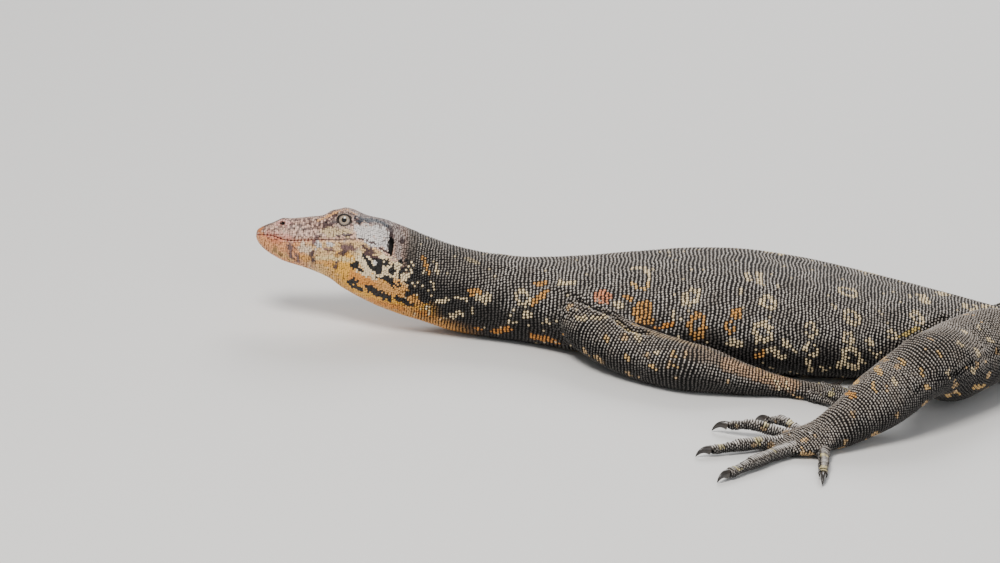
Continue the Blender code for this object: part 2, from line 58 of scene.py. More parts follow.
# Lights: name, place, size, power and colour
LIGHTS = (
    ("main_light", (-0.7, -1.1, 2.1), 0.8, 58.0, (1.0, 0.97, 0.93)),
    ("fill_light", (1.3, -1.6, 0.9), 1.4, 9.0, (0.93, 0.96, 1.0)),
    ("rim_light", (0.2, 1.6, 1.3), 1.0, 22.0, (1.0, 1.0, 1.0)),
)

# The body as it was built, in millimetres: section rows, powers and roll of the trunk
SNOUT, TAIL_CUT, TAIL_END = -335.0, 184.0, 934.0
NOSE_LENGTH = 12.0
TAIL_SWAY = math.radians(-24.0)
TAIL_WAVE = 640.0
SPINE_STEPS = 1200
BODY = (
    (-335, 57.3, 64.3, 47.8, 9.8), (-326, 57.1, 65.7, 45.2, 11.3), (-316, 57.1, 69.0, 40.8, 12.8),
    (-302, 57.5, 71.2, 37.5, 15.0), (-293, 57.9, 72.8, 35.0, 16.9), (-284, 58.2, 77.5, 31.5, 18.8),
    (-275, 57.4, 79.0, 25.9, 20.4), (-262, 53.0, 75.5, 19.6, 23.0), (-250, 48.2, 73.5, 14.8, 24.4),
    (-236, 42.1, 69.0, 10.6, 23.8), (-218, 34.8, 63.0, 6.0, 23.3), (-200, 29.8, 58.2, 1.4, 24.0),
    (-180, 27.8, 55.2, -0.8, 25.2), (-155, 26.8, 53.8, -1.5, 29.0), (-135, 26.0, 54.6, -1.5, 35.5),
    (-111, 26.0, 56.3, -1.8, 46.0), (-78, 27.0, 60.8, -2.0, 54.0), (-38, 28.0, 66.0, -2.2, 60.0),
    (-8, 28.0, 67.4, -2.2, 62.0), (29, 26.5, 65.0, -2.0, 61.0), (63, 24.5, 60.5, -2.0, 57.0),
    (97, 22.5, 55.5, -1.8, 49.0), (131, 21.0, 50.0, -1.5, 41.0), (165, 19.0, 44.0, -1.2, 34.0),
    (184, 18.5, 41.5, -1.0, 29.5), (220, 17.5, 38.8, -0.8, 24.0), (300, 16.0, 35.0, -0.6, 17.5),
    (400, 13.5, 29.5, -0.5, 13.0), (550, 10.0, 22.0, -0.4, 8.5), (700, 6.5, 15.0, -0.3, 5.5),
    (850, 3.4, 8.0, -0.2, 3.0), (934, 1.4, 3.0, -0.1, 1.2),
)
UPPER_POWER = (
    (-335, 2.2), (-310, 2.6), (-277, 3.4), (-250, 2.6), (-218, 2.2), (165, 2.1), (300, 1.7), (934, 1.8),
)
LOWER_POWER = (
    (-335, 2.2), (-277, 1.9), (-218, 2.0), (-165, 2.3), (-38, 2.7), (165, 2.5), (300, 2.2), (934, 2.0),
)
ROLL = ((-335, 16), (-245, 16), (-150, 0), (934, 0))

# Head: bells of relief as station, height above the widest level, reach along, reach up, raise
RELIEF = (
    (-275.0, 19.5, 9.0, 3.0, 0.8), (-294.0, 11.5, 11.0, 2.6, 0.9), (-277.0, 12.0, 7.5, 6.0, -1.4),
    (-297.0, 7.0, 9.0, 3.5, -1.0), (-318.0, 8.5, 4.5, 3.6, 1.3), (-259.0, 13.0, 6.0, 5.0, -0.9),
    (-254.0, -2.0, 9.0, 10.0, 1.6), (-244.5, 13.0, 3.2, 8.0, -1.5),
)
# Finer forms than the built head's: ridges over the eye and along the temple, nostril, cheek and jaw
FINE_RELIEF = (
    (-278.0, 17.4, 8.5, 1.2, 0.65), (-262.0, 16.6, 9.0, 1.3, 0.5), (-299.0, 10.6, 10.0, 1.2, 0.4),
    (-317.0, 8.6, 3.4, 2.6, 0.5), (-262.0, 3.5, 8.0, 3.5, 0.7), (-249.0, -7.0, 8.0, 6.0, 0.9),
    (-270.0, 8.2, 6.0, 0.9, 0.35), (-285.5, 9.0, 4.0, 2.2, -0.4),
)
MOUTH = (
    (-335, 0), (-326, 0.7), (-314, -1.6), (-303, -1.0), (-293, -0.2), (-281, 0.7), (-270, 4.0), (-262, 6.8),
    (-236, 0),
)
MOUTH_CORNER, MOUTH_FADE = -266.0, 12.0
MOUTH_DEPTH, MOUTH_HALF_WIDTH = 1.5, 0.62
LIP_RAISE, LIP_OFFSET, LIP_HALF_WIDTH = 0.75, 2.3, 1.5
EYE_CENTRE = (-276.2, 12.2, 14.0)
EYE_RADIUS = 6.0
EYE_RAISED, EYE_FORWARD = math.radians(9.0), math.radians(8.0)
EYE_OPENING = (3.7, 4.6)                # half height, half width
LID_BALL = 7.15                         # radius of the skin over the eyeball
EYE_TURNS, EYE_ANGLES = 64, 40          # faces round the eyeball and from its front to its back
LID_STEPS, LID_SIDES, LID_GROW = 96, 14, 1.06
NOSTRIL = ((-318.0, 10.0, 9.4), (1.9, 3.2, 1.4))
EAR = ((-244.5, 22.2, 12.0), (2.1, 4.5, 7.2))
HOLES = ((NOSTRIL, 2.0, 0.45), (EAR, 2.6, 0.5))    # with their depth and the height of their rim

# Limbs: x, out from the middle, height, half width, half height
ARM = (
    (-118, 26, 28, 15, 17), (-103, 47, 23, 16.5, 17), (-68, 68, 17.5, 17.5, 17.3),
    (-36, 79, 15.8, 15.5, 16),
    (-4, 78.5, 10.5, 11.5, 10.5), (24, 76.5, 6.6, 7.2, 6.4), (36, 76, 5.4, 9.5, 5.4),
    (47, 75.5, 4.4, 9.5, 4.4), (54, 75.5, 3.2, 5, 2.6),
)
LEFT_LEG = (
    (172, 12, 30, 18, 20), (156, 35, 31, 25, 25), (135, 67, 31, 26, 26.5), (116, 101, 38.5, 21, 21),
    (88, 133, 26, 20.5, 20), (60, 162, 13.8, 14.5, 14.2), (46, 171, 8.8, 16, 8.8), (33, 179, 6, 17, 6),
    (24, 185, 4.4, 12, 4.2), (19, 188, 3.2, 5, 2.6),
)
RIGHT_LEG = (
    (170, 12, 26, 18, 19), (192, 36, 24, 23, 21), (209, 64, 24, 23, 22), (224, 90, 28, 19, 19),
    (255, 114, 20, 18, 17), (286, 138, 12.5, 13, 13), (295, 150, 8.6, 15, 8.6), (303, 161, 6, 16, 6),
    (309, 169, 4.4, 11, 4.2), (312, 173, 3.2, 5, 2.6),
)
LOWER_JOINT = 5                         # row where the hand or foot begins
LIMB_SIDES, LIMB_STEPS = 56, 14         # columns round a limb, and rings from one row to the next
DIGIT_SIDES, DIGIT_STEPS = 24, 40
RIGHT_ARM_TURN = math.radians(5.0)
SHOULDER_PIVOT = (-110.0, 36.0)
DIGIT_ROOT = {"hand": 10.0, "foot": 14.0}
FINGERS = (
    (9, -9, 23, -15, 3.6, 1.2), (15, -5, 34, -10, 3.8, 1.6), (17, 0, 41, 0, 3.9, 1.6),
    (15, 5, 38, 10, 3.8, 1.4), (9, 9, 23, 18, 3.6, 1.0),
)
TOES = (
    (5, -22, 14, -45, 4.6, 5.0), (20, -22, 45, -45, 4.7, 5.0), (32, -10, 78, -14, 4.8, 1.5),
    (32, 6, 90, 27, 5.0, 1.2), (9, 18, 31, 51, 4.4, 1.0),
)
DIGIT_TAPER, DIGIT_REST, ARCH_ENDS = 0.74, 0.94, 0.4
KNUCKLES, KNUCKLE_SWELL = 3, 0.07
CLAW_LENGTH = {"hand": 8.5, "foot": 11.0}
CLAW_FIT, CLAW_FLATNESS, CLAW_LIFT = 0.86, 0.72, 0.10
CLAW_TUCK, CLAW_RAISE, CLAW_TIP_HEIGHT = 0.12, 0.45, 0.7
CLAW_INSET, CLAW_REACH, CLAW_TAPER = 0.9, 1.06, 0.7
CLAW_SIDES, CLAW_STEPS = 18, 22
GAP = 0.3
UP = np.array((0.0, 0.0, 1.0))
SIDES = (("left", -1.0), ("right", 1.0))

# Skin and coat
COAT = 0.5                              # depth of the scales over the skin
FLOOR_CLEAR = 0.05
HEAD_JOIN, TAIL_JOIN = -227.0, 305.0    # where the fine head and the tail meet the body
HEAD_STEP = 0.85
HEAD_UPPER, HEAD_LOWER = 48, 36         # columns on a side over and under the line of the mouth
TAIL_STEP, TAIL_COLUMNS = 2.5, 48
TRUNK_STEP, TRUNK_COLUMNS = 2.0, 160
NEAREST_STEPS = 380                     # places along the tail among which the nearest one is looked for
VOXEL = 2.25
# Roots of the limbs, where skin runs smoothly from trunk to limb: x, y, z, reach
FILLETS = (
    (-106, -46, 22, 22), (-106, 46, 22, 22), (146, -54, 28, 30), (200, 50, 22, 28),
    (42, -171, 5, 22), (300, 156, 5, 22),
)
FILLET_ROUNDS = 26
# Spacing of the scale rows and of the scales in a row, by station
TRUNK_PITCH = (
    (-335, 1.55, 1.45), (-290, 1.6, 1.5), (-262, 1.45, 1.35), (-240, 1.6, 1.5), (-218, 2.0, 1.75),
    (-180, 2.25, 1.85), (-128, 2.6, 1.95), (-10, 2.6, 2.0), (40, 2.35, 1.95), (184, 2.3, 1.95),
    (330, 2.7, 2.0), (550, 2.8, 1.8), (934, 2.2, 1.2),
)
LIMB_PITCH = ((0.0, 2.3, 2.0), (0.45, 2.15, 1.9), (0.8, 1.95, 1.8), (1.0, 1.8, 1.7))
DIGIT_PITCH = (1.75, 2.3)


def tone(red, green, blue):
    """Light of a colour seen on a screen, each part from 0 to 255."""
    seen = np.array((red, green, blue)) / 255.0
    return np.where(seen <= 0.04045, seen / 12.92, ((seen + 0.055) / 1.055) ** 2.4)


BLACK = tone(26, 22, 21)
CHARCOAL = tone(38, 34, 32)
BROWN_GREY = tone(112, 102, 93)
BLUE_BLACK = tone(42, 42, 52)
CREAM = tone(244, 220, 176)
GOLD = tone(234, 190, 122)
AMBER = tone(222, 160, 84)
ORANGE = tone(222, 146, 62)
SALMON = tone(226, 146, 104)
PINK_TAN = tone(224, 182, 160)
PINK_GREY = tone(176, 158, 150)
PALE_GREY = tone(216, 209, 204)
THROAT = tone(240, 176, 62)
JAW_PINK = tone(232, 160, 106)
JAW_CREAM = tone(226, 186, 130)
JAW_BROWN = tone(150, 96, 70)
PALE_TAN = tone(238, 214, 190)
BROW_TAN = tone(226, 168, 112)
LIP_PINK = tone(198, 118, 104)
LIP_DARK = tone(70, 30, 30)
FOREARM_TAN = tone(204, 166, 132)
LIMB_BROWN = tone(134, 120, 106)
KNUCKLE_PALE = tone(226, 210, 158)
BELLY_TAN = tone(206, 178, 120)
SPECK = tone(84, 60, 58)
PLUM = tone(122, 92, 88)
# Pale grey on the scales' ridges: real dust, and painted sheen where they face the light above
DUST_AND_SHEEN = tone(236, 228, 219)
LID_GREY = tone(128, 108, 98)
LID_DARK = tone(26, 20, 18)
NOSTRIL_PINK = tone(206, 146, 132)
# Shade of the eyeball from the middle of the pupil outwards, by part of the half turn round the ball
EYE_RINGS = (
    (0.0, (0.004, 0.004, 0.004)), (0.090, (0.004, 0.004, 0.004)), (0.100, (0.95, 0.84, 0.62)),
    (0.135, (0.90, 0.86, 0.80)), (0.185, (0.62, 0.56, 0.50)), (0.222, (0.05, 0.04, 0.035)),
    (1.0, (0.03, 0.025, 0.02)),
)
# Materials of skin and scales: name, painted shade between scales (share of the colour kept at rise 0),
# roughness and gloss
LOOKS = {
    "body_skin": ("hide_scales", 0.08, 0.36, 0.45), "head_skin": ("head_scales", 0.14, 0.40, 0.45),
    "limb_skin": ("limb_scales", 0.08, 0.36, 0.45), "bare": ("bare_skin", 0.16, 0.62, 0.20),
}

# Coat: sizes of a scale against its spacing, how deep its root sinks, and its rise from root to top
FILL_LENGTH, FILL_WIDTH = 0.52, 0.54
HEAD_FILL, HEAD_RISE, HEAD_SPREAD, HEAD_STRAY = 1.26, 0.32, 1.12, 0.21
SCALE_RISE, SCALE_ROOT = 0.62, 0.45
# Rise of each corner of a scale, 0 at its root and 1 on its ridge: the material lays painted shade where it
# is low
RISE = np.array([0.0] * 6 + [0.70] * 6 + [1.0] * 2)
ROW_WAVE, WAVE_LENGTH, STRAY = 0.26, 19.0, 0.12
CRISP = 0.65                            # markings less soft than this end between one scale and the next
LID_RINGS = ((1.21, 0.72), (1.37, 0.85), (1.56, 1.0), (1.78, 1.15))    # the lids' scales: spread and spacing
LIP_PITCH, LIP_OUT, LIP_PLATE = 2.3, 1.6, (1.2, 0.95)
HEAD_THINNING, BODY_THINNING = 0.46, 0.62    # how near two scales may lie, as a share of their width
PLATE_HEIGHT = SCALE_RISE * 0.75        # scales lower than this have a crisp rim
PLATE_PITCH = 1.9                       # of the plates across the fingers and toes
PATCH = 0.003                           # size of a scale's patch on the unwrap
TILE_EDGE, TILE_REACH = 0.02, 0.96      # margin and used part of each grid's tile on the unwrap
FAR_SHIFT = 14.0                        # by how much the far side's markings lie further back
BAND_STEP = 27.0                        # from one pale band of the tail to the next
USUAL_SCALE = {"height": SCALE_RISE, "spread": 1.0, "curve": 0.0, "dust": 0.0, "moved": 0.0}
# Pieces of the trunk's coat, from one station to another
TRUNK_PIECES = (
    ("neck", -400, -128), ("chest", -128, -50), ("belly", -50, 30), ("loin", 30, 110), ("rump", 110, 220),
    ("tail_front", 220, 400), ("tail_rear", 400, 1000),
)

# Folds of the skin between two pixels, on both sides and on the near side alone: half width and depth
FOLDS = (
    (555, 292, 578, 299, 1.8, 1.2), (578, 299, 594, 308, 2.0, 2.0), (594, 308, 609, 315, 2.0, 2.4),
    (609, 315, 628, 330, 2.0, 2.4), (628, 330, 646, 334, 2.0, 1.8),
    (334, 236.5, 344, 237, 0.65, 0.45), (344, 237, 355, 234, 0.65, 0.45), (332, 231, 340, 233, 0.6, 0.3),
    (340, 233, 351, 230.5, 0.6, 0.3), (359, 238.5, 375, 244, 0.65, 0.45), (375, 244, 387, 253.5, 0.7, 0.45),
    (404, 232, 406, 262, 1.2, 0.7), (414, 238, 417, 275, 1.4, 0.7), (448, 262, 452, 300, 1.8, 0.7),
    (500, 270, 508, 312, 2.2, 0.9),
)
NEAR_FOLDS = (
    (896, 347, 912, 339, 2.0, 1.6), (912, 339, 928, 330, 2.2, 2.4), (928, 330, 944, 319, 2.0, 1.6),
    (914, 391, 928, 378, 1.8, 1.2), (928, 378, 956, 371.6, 1.9, 1.6), (956, 371.6, 971, 362, 1.9, 1.6),
    (971, 362, 998, 350, 1.8, 1.2),
)
# Markings of the head and trunk, as strokes between two pixels of the photograph: radius in millimetres,
# colour, softness and whether they are hollow, where these differ from the usual. Later ones lie on top.
USUAL_STROKE = (0.4, False)
STROKES = (
    # Tip of the snout, throat and jaw
    (258, 231, 262, 226, 2.6, tone(204, 124, 72), 1.4), (262, 237, 280, 241, 2.2, tone(216, 132, 92), 1.2),
    (268, 233.5, 290, 238.2, 1.8, tone(222, 156, 136), 1.2),
    (266, 226, 274, 222.5, 2.2, tone(116, 94, 84), 1.4),
    (280, 222.5, 287, 222, 2.7, tone(238, 178, 164), 1.2), (281, 217.8, 283, 217.6, 1.0, SPECK, 0.5),
    (345, 262, 352, 283, 8.0, THROAT, 2.5), (358, 291, 398, 303, 4.5, THROAT, 1.5),
    (352, 276, 388, 287, 5.0, ORANGE, 1.5), (326, 262, 345, 271, 3.0, THROAT, 1.5),
    (300, 257, 330, 262, 2.5, AMBER, 1.5), (372, 300, 402, 308, 3.0, ORANGE, 1.0),
    (303, 246, 309, 250, 3.2, tone(226, 198, 168), 1.2), (262, 240, 283, 256, 3.5, JAW_PINK, 2.0),
    (275, 251.5, 291, 258.5, 2.2, tone(236, 184, 112), 1.5),
    (275, 247, 275, 251, 1.2, tone(150, 112, 66), 0.7),
    (279.5, 252, 281, 255.5, 1.2, tone(150, 112, 66), 0.7), (316.8, 244, 318, 245, 2.4, PALE_GREY, 0.8),
    (329, 243.6, 332, 244.2, 1.5, PALE_GREY, 0.8),
    # Cheek, and the dark streak from eye to ear
    (326, 231, 348, 232.5, 3.0, tone(208, 180, 134), 1.4), (324, 226, 331.5, 223.5, 1.5, SPECK, 0.8),
    (362, 232, 382, 233, 5.0, PALE_GREY, 1.2), (370, 240, 386, 244, 4.0, PALE_GREY, 1.2),
    (356, 219.6, 376, 220.6, 2.3, BLUE_BLACK, 0.6), (376, 220.6, 389, 227.3, 2.0, BLUE_BLACK, 0.6),
    # Thin dark lines along the folds under and behind the eye: painted shade in their creases
    (336, 236.2, 353, 234.8, 0.6, SPECK), (359.7, 238.6, 375.5, 244.3, 0.6, SPECK),
    (375.5, 244.3, 387, 253.5, 0.6, SPECK),
    # Brow, the pale ring round the eye, and the fold under it
    (344.5, 220, 345, 220.5, 5.6, tone(192, 166, 152), 0.9), (354, 220, 358, 219, 1.4, SPECK, 0.5),
    (333, 222.5, 337, 221, 1.1, SPECK, 0.5), (337.2, 222.9, 338.8, 222.2, 0.9, LIP_DARK * 0.4),
    (321.3, 219.4, 339.4, 211.5, 2.1, BROW_TAN, 0.5), (339.4, 211.5, 348, 209.8, 1.1, BROW_TAN),
    (319, 217, 333.7, 211, 0.8, SPECK), (333.7, 211, 345, 209, 0.7, SPECK),
    (321.3, 224, 330.3, 220.4, 0.7, SPECK), (330.3, 220.4, 337, 214.4, 0.7, SPECK),
    (346.1, 210.4, 357.4, 214.8, 1.0, BROW_TAN),
    # Bars on the jaws
    (290.5, 245, 290.5, 256.5, 1.9, PLUM, 1.0), (316, 237, 314, 243, 1.3, PLUM, 0.7),
    (312, 254, 312.5, 261, 1.8, SPECK, 0.8), (297, 255, 299, 261, 1.4, PLUM, 0.8),
    (350.6, 246, 342, 253, 2.0, SPECK, 0.8), (338, 256, 335.5, 267, 1.5, SPECK, 0.7),
    (343, 246, 355, 249.5, 2.0, PLUM, 1.0), (326, 249, 333, 251, 1.2, PLUM, 0.7),
    (318, 258, 352, 261, 1.5, tone(238, 208, 150), 0.8),
    # Black blotches with cream between them, behind the jaw
    (364, 262, 380, 272, 6.0, CREAM, 1.5), (384, 264, 396, 280, 6.0, CREAM, 1.5),
    (360, 270, 378, 277, 3.0, CREAM, 1.0), (376, 291, 396, 284, 4.0, AMBER, 1.2),
    (352, 265, 358, 264, 1.7, BLACK, 0.5), (357, 267, 361, 270, 1.6, BLACK, 0.5),
    (365, 258, 369, 262, 1.9, BLACK, 0.5), (370, 265, 376, 270, 2.1, BLACK, 0.5),
    (375, 258, 380, 262, 1.9, BLACK, 0.5), (379, 266, 380, 271, 1.5, BLACK, 0.5),
    (379, 276, 383, 277, 2.2, BLACK, 0.5, True), (387, 264, 392, 269, 2.6, BLACK, 0.6),
    (392, 270, 396, 274, 2.2, BLACK, 0.6), (350, 284, 355, 281, 2.0, BLACK, 0.6),
    (354, 286, 361, 289, 2.3, BLACK, 0.6), (369, 289, 375, 292, 2.8, BLACK, 0.6),
    (377, 292, 388, 298, 2.6, BLACK, 0.6), (388, 280, 392, 284, 2.3, BLACK, 0.6),
    (392, 287, 397, 291, 2.4, BLACK, 0.6), (400, 274, 409, 285, 2.6, BLACK, 0.6),
    (399, 297, 412, 303, 3.2, BLACK, 0.6), (413, 289, 420, 296, 3.0, BLACK, 0.6),
    (364, 247, 372, 253, 2.0, SPECK, 0.9), (366, 254, 378, 257, 1.2, SPECK, 0.6),
    (374, 262, 375, 263, 1.0, PALE_GREY),
    # Behind the ear and on the neck
    (398, 233, 399, 258, 2.8, PINK_GREY * 0.8, 1.0), (390, 226, 391, 236, 1.2, SPECK * 0.5, 0.6),
    (402, 240, 401, 268, 1.1, SPECK * 0.6, 0.6), (380, 281, 394, 291, 2.0, AMBER, 0.6),
    (395, 291, 417, 302, 2.4, AMBER, 0.6), (412, 280, 424, 287, 2.0, CREAM, 0.5),
    (424, 259, 429, 275, 1.7, AMBER, 0.5), (435, 262, 437, 273, 1.5, CREAM, 0.5),
    (418, 312, 430, 315, 2.0, ORANGE, 0.5), (437, 318, 441, 319, 1.8, AMBER, 0.5),
    (438, 302, 447, 300, 1.6, CREAM, 0.5), (426, 306, 430, 314, 1.3, CREAM),
    (452, 315, 456, 315, 2.2, CREAM, 0.5), (457, 297, 467, 300, 1.6, CREAM),
    (472, 292, 478, 292, 2.8, AMBER, 0.5), (480, 298, 488, 297, 2.6, CREAM, 0.5),
    (467, 259, 477, 263, 1.6, CREAM * 0.6, 0.8), (458, 312, 463, 314, 1.6, CREAM),
    (476, 328, 480, 329, 1.8, ORANGE, 0.5), (495, 331, 508, 329, 2.9, ORANGE, 0.5),
    (511.5, 312, 512.5, 321, 3.0, CREAM, 0.4, True), (525, 315, 529, 315, 3.2, CREAM, 0.5),
    (522, 297, 523, 298, 5.6, CREAM, 0.4, True), (533, 303, 549, 290, 1.7, AMBER),
    (533, 283, 545, 284, 1.8, AMBER, 0.5), (560, 283, 575, 283, 2.0, CREAM, 0.5),
    (535, 337, 555, 341, 3.2, ORANGE, 0.5), (564, 331, 565, 335, 1.8, AMBER),
    (546, 319, 548, 323, 1.7, CREAM), (602, 296, 603, 299, 5.0, SALMON, 0.5),
    (578, 309, 590, 307, 2.3, CREAM, 0.5),
    # Flank
    (628, 252.5, 633, 253, 3.6, CREAM, 0.5), (641, 252.5, 645, 253.5, 2.2, CREAM, 0.5),
    (633, 269, 645, 268, 1.6, CREAM), (646, 269, 648, 281, 1.7, CREAM), (632, 283, 637, 288.5, 1.7, GOLD),
    (637, 288.5, 645, 289, 1.7, GOLD), (645, 289, 649, 284, 1.7, GOLD), (626, 297, 631, 301, 1.7, AMBER),
    (617, 304, 622, 307, 2.0, CREAM), (642, 310, 643, 322, 6.8, AMBER, 0.5),
    (656, 329, 672, 324, 1.7, ORANGE), (676, 315, 676.5, 317, 3.5, CREAM, 0.4, True),
    (686, 303, 685, 294, 2.7, CREAM), (688, 305, 695, 302, 2.0, CREAM), (692, 290, 699, 294, 1.8, CREAM),
    (698, 298, 700, 291, 1.5, CREAM), (697, 322, 698, 331, 6.2, AMBER, 0.5, True),
    (701, 333, 704, 347, 3.6, AMBER, 0.5), (729, 326, 731, 330, 2.9, AMBER, 0.4, True),
    (736, 312, 738, 315, 3.0, AMBER), (733, 342, 739, 344, 2.6, CREAM), (740, 290, 741, 294, 1.6, CREAM),
    (745, 252, 758, 252.5, 2.4, CREAM, 0.5), (748, 276, 750, 279, 3.0, CREAM, 0.4, True),
    (759, 274, 760, 283, 1.9, CREAM), (767.5, 302, 768.5, 303, 5.8, CREAM, 0.4, True),
    (762, 330, 764, 334, 6.4, CREAM, 0.4, True), (757, 356, 769, 350, 2.2, AMBER),
    (769, 350, 782, 357, 2.4, CREAM), (785, 343, 787, 345, 2.8, CREAM), (776, 285, 778, 287, 1.4, CREAM),
    (795, 351, 796, 352, 1.6, CREAM), (809, 328, 811, 332, 4.2, CREAM, 0.4, True),
    (811, 348, 813, 352, 4.4, CREAM, 0.4, True), (808, 361, 811, 370, 2.2, CREAM),
    (822, 366, 824, 370, 1.5, CREAM), (847, 336, 849, 340, 3.9, CREAM, 0.4, True),
    (844, 270, 855, 271, 2.8, CREAM, 0.5), (845, 291, 851, 293, 5.0, CREAM, 0.4, True),
    (850, 316, 854, 319, 5.4, CREAM, 0.4, True), (838, 367, 846, 357, 2.3, CREAM),
    (851, 356, 853, 361, 7.2, CREAM, 0.4, True), (869, 341, 871, 343, 2.0, CREAM),
    (890, 334, 892, 336, 3.2, CREAM, 0.4, True), (834, 306, 835, 308, 1.6, CREAM),
    (877, 356, 879, 352, 1.5, CREAM), (916, 316, 918, 320, 4.2, CREAM, 0.4, True),
    (909, 296, 909.5, 298, 1.4, CREAM), (922, 297, 925, 301, 4.2, CREAM),
    (920, 279.5, 931, 281, 2.0, CREAM, 0.5), (899, 337, 919, 328, 1.5, tone(206, 178, 104), 0.6),
    (970, 303, 971, 307, 6.2, CREAM, 0.4, True), (980, 298, 990, 300, 2.0, CREAM, 0.5),
)
# Markings of the near arm and hind leg, in the same way
ARM_STROKES = (
    (614, 320, 624, 328, 1.8, tone(206, 186, 150), 0.6),
    (624, 329, 640, 336, 1.6, tone(214, 190, 140), 0.6),
    (650, 332, 712, 354, 3.4, tone(168, 146, 118), 1.2),
    (690, 352, 735, 366, 5.0, tone(150, 130, 112), 2.5), (578, 318, 584, 319, 2.4, CREAM, 0.5),
    (594, 318, 606, 317, 2.3, CREAM, 0.5), (728, 364, 792, 384, 5.2, FOREARM_TAN, 2.0),
    (626, 332, 640, 340, 1.6, CREAM, 0.6), (606, 336, 609, 341, 1.6, GOLD), (626, 356, 630, 359, 1.7, GOLD),
    (650, 366, 655, 369, 1.5, GOLD), (673, 365, 676, 368, 1.6, GOLD), (654, 352, 658, 353, 1.4, CREAM),
    (672, 352, 675, 356, 1.4, GOLD), (776, 381, 778, 388, 1.3, CREAM, 0.5),
    (786, 383, 788, 389, 1.3, CREAM, 0.5),
)
LEG_STROKES = (
    (964, 332, 966, 334, 1.8, CREAM), (978, 327, 980, 330, 1.6, CREAM), (988, 339, 991, 341, 1.8, CREAM),
    (959, 344, 962, 346, 2.0, CREAM), (939, 352, 942, 356, 1.9, GOLD), (976, 351, 979, 355, 2.0, CREAM),
    (971, 369, 974, 371, 2.2, CREAM), (947, 371, 950, 377, 1.6, CREAM), (926, 386, 929, 389, 1.6, GOLD),
    (921, 368, 923, 376, 1.4, GOLD), (900, 359, 904, 364, 1.8, GOLD), (876, 368, 880, 374, 2.0, GOLD),
    (853, 377, 857, 383, 2.0, GOLD), (872, 383, 875, 391, 1.6, GOLD), (848, 393, 853, 397, 2.2, AMBER),
    (893, 378, 896, 384, 1.5, CREAM), (946, 394, 949, 396, 1.8, GOLD), (957, 392, 960, 393, 1.5, GOLD),
    (972, 387, 984, 385, 1.7, GOLD, 0.5),
)


def smooth(table, at):
    """Smooth curves through rows of (place, value, ...): cubics with harmonic mean slopes, level at turns."""
    table, at = np.asarray(table, float), np.atleast_1d(np.asarray(at, float))
    knots, values = table[:, 0], table[:, 1:]
    step = np.diff(knots)[:, None]
    chord = np.diff(values, axis=0) / step
    before, after = chord[:-1], chord[1:]
    rising = before * after > 0
    inner = np.where(rising, 2 * before * after / np.where(rising, before + after, 1.0), 0.0)
    slope = np.vstack((chord[:1], inner, chord[-1:]))
    row = np.clip(np.searchsorted(knots, at) - 1, 0, len(step) - 1)
    width = step[row]
    part = np.clip((at - knots[row])[:, None] / width, 0.0, 1.0)
    square, cube = part ** 2, part ** 3
    return (
        (2 * cube - 3 * square + 1) * values[row] + (3 * square - 2 * cube) * values[row + 1]
        + (cube - 2 * square + part) * width * slope[row] + (cube - square) * width * slope[row + 1]
    )


def spine(stations):
    """Place in plan and heading by station: straight along X, then an S whose heading is a sine."""
    lengths = np.linspace(TAIL_CUT, TAIL_END, SPINE_STEPS)
    headings = TAIL_SWAY * np.sin(2 * math.pi * (lengths - TAIL_CUT) / TAIL_WAVE)
    step = lengths[1] - lengths[0]
    x = TAIL_CUT + np.concatenate(([0], np.cumsum(np.cos(headings[:-1]) * step)))
    y = np.concatenate(([0], np.cumsum(np.sin(headings[:-1]) * step)))
    ahead = stations < TAIL_CUT
    return (
        np.where(ahead, stations, np.interp(stations, lengths, x)),
        np.where(ahead, 0.0, np.interp(stations, lengths, y)),
        np.where(ahead, 0.0, np.interp(stations, lengths, headings)),
    )


def bell(value, reach):
    """Bell curve, 1 in the middle, that has almost gone at twice its reach."""
    return np.exp(-(value / reach) ** 2)


def ease(value, start, end):
    """Smooth step from 0 at start to 1 at end."""
    part = np.clip((value - start) / (end - start), 0.0, 1.0)
    return part * part * (3 - 2 * part)


def unit(vectors):
    """The same directions at length 1."""
    return vectors / np.maximum(np.linalg.norm(vectors, axis=-1, keepdims=True), 1e-9)


def grid_normals(points):
    """Outward directions of a grid of points whose columns close on themselves."""
    along = np.gradient(points, axis=0)
    around = np.roll(points, -1, axis=1) - np.roll(points, 1, axis=1)
    return unit(np.cross(around, along))


def head_relief(stations, above):
    """Raise of the skin over the plain section: bells for brow, hollows and muscle, then lips and mouth."""
    raised = np.zeros_like(above)
    for place, height, along, upward, amount in RELIEF + FINE_RELIEF:
        raised += amount * bell(stations - place, along) * bell(above - height, upward)
    fade = ease(stations, MOUTH_CORNER, MOUTH_CORNER - MOUTH_FADE)
    front = ease(stations, -280, -300)
    from_mouth = above - smooth(MOUTH, stations[:, 0])
    raised += fade * LIP_RAISE * bell(np.abs(from_mouth) - LIP_OFFSET, LIP_HALF_WIDTH)
    raised -= fade * MOUTH_DEPTH * (0.45 + 0.55 * front) * bell(from_mouth, MOUTH_HALF_WIDTH)
    return raised


def section(stations, angles, grow):
    """Out and above of two half superellipses that meet at the widest level, shrunk to the snout's tip."""
    level, top, under, half = (column[:, None] for column in smooth(BODY, stations).T)
    cosine, sine = np.cos(angles), np.sin(angles)
    power = np.where(sine >= 0, smooth(UPPER_POWER, stations), smooth(LOWER_POWER, stations))
    part = np.clip((stations[:, None] - SNOUT) / NOSE_LENGTH, 0.0, 1.0)
    rounding = np.sqrt(1 - (1 - part) ** 2)
    reach = np.where(sine >= 0, top - level, level - under) + grow
    out = rounding * (half + grow) * np.sign(cosine) * np.abs(cosine) ** (2 / power)
    above = rounding * reach * np.sign(sine) * np.abs(sine) ** (2 / power)
    return out, above


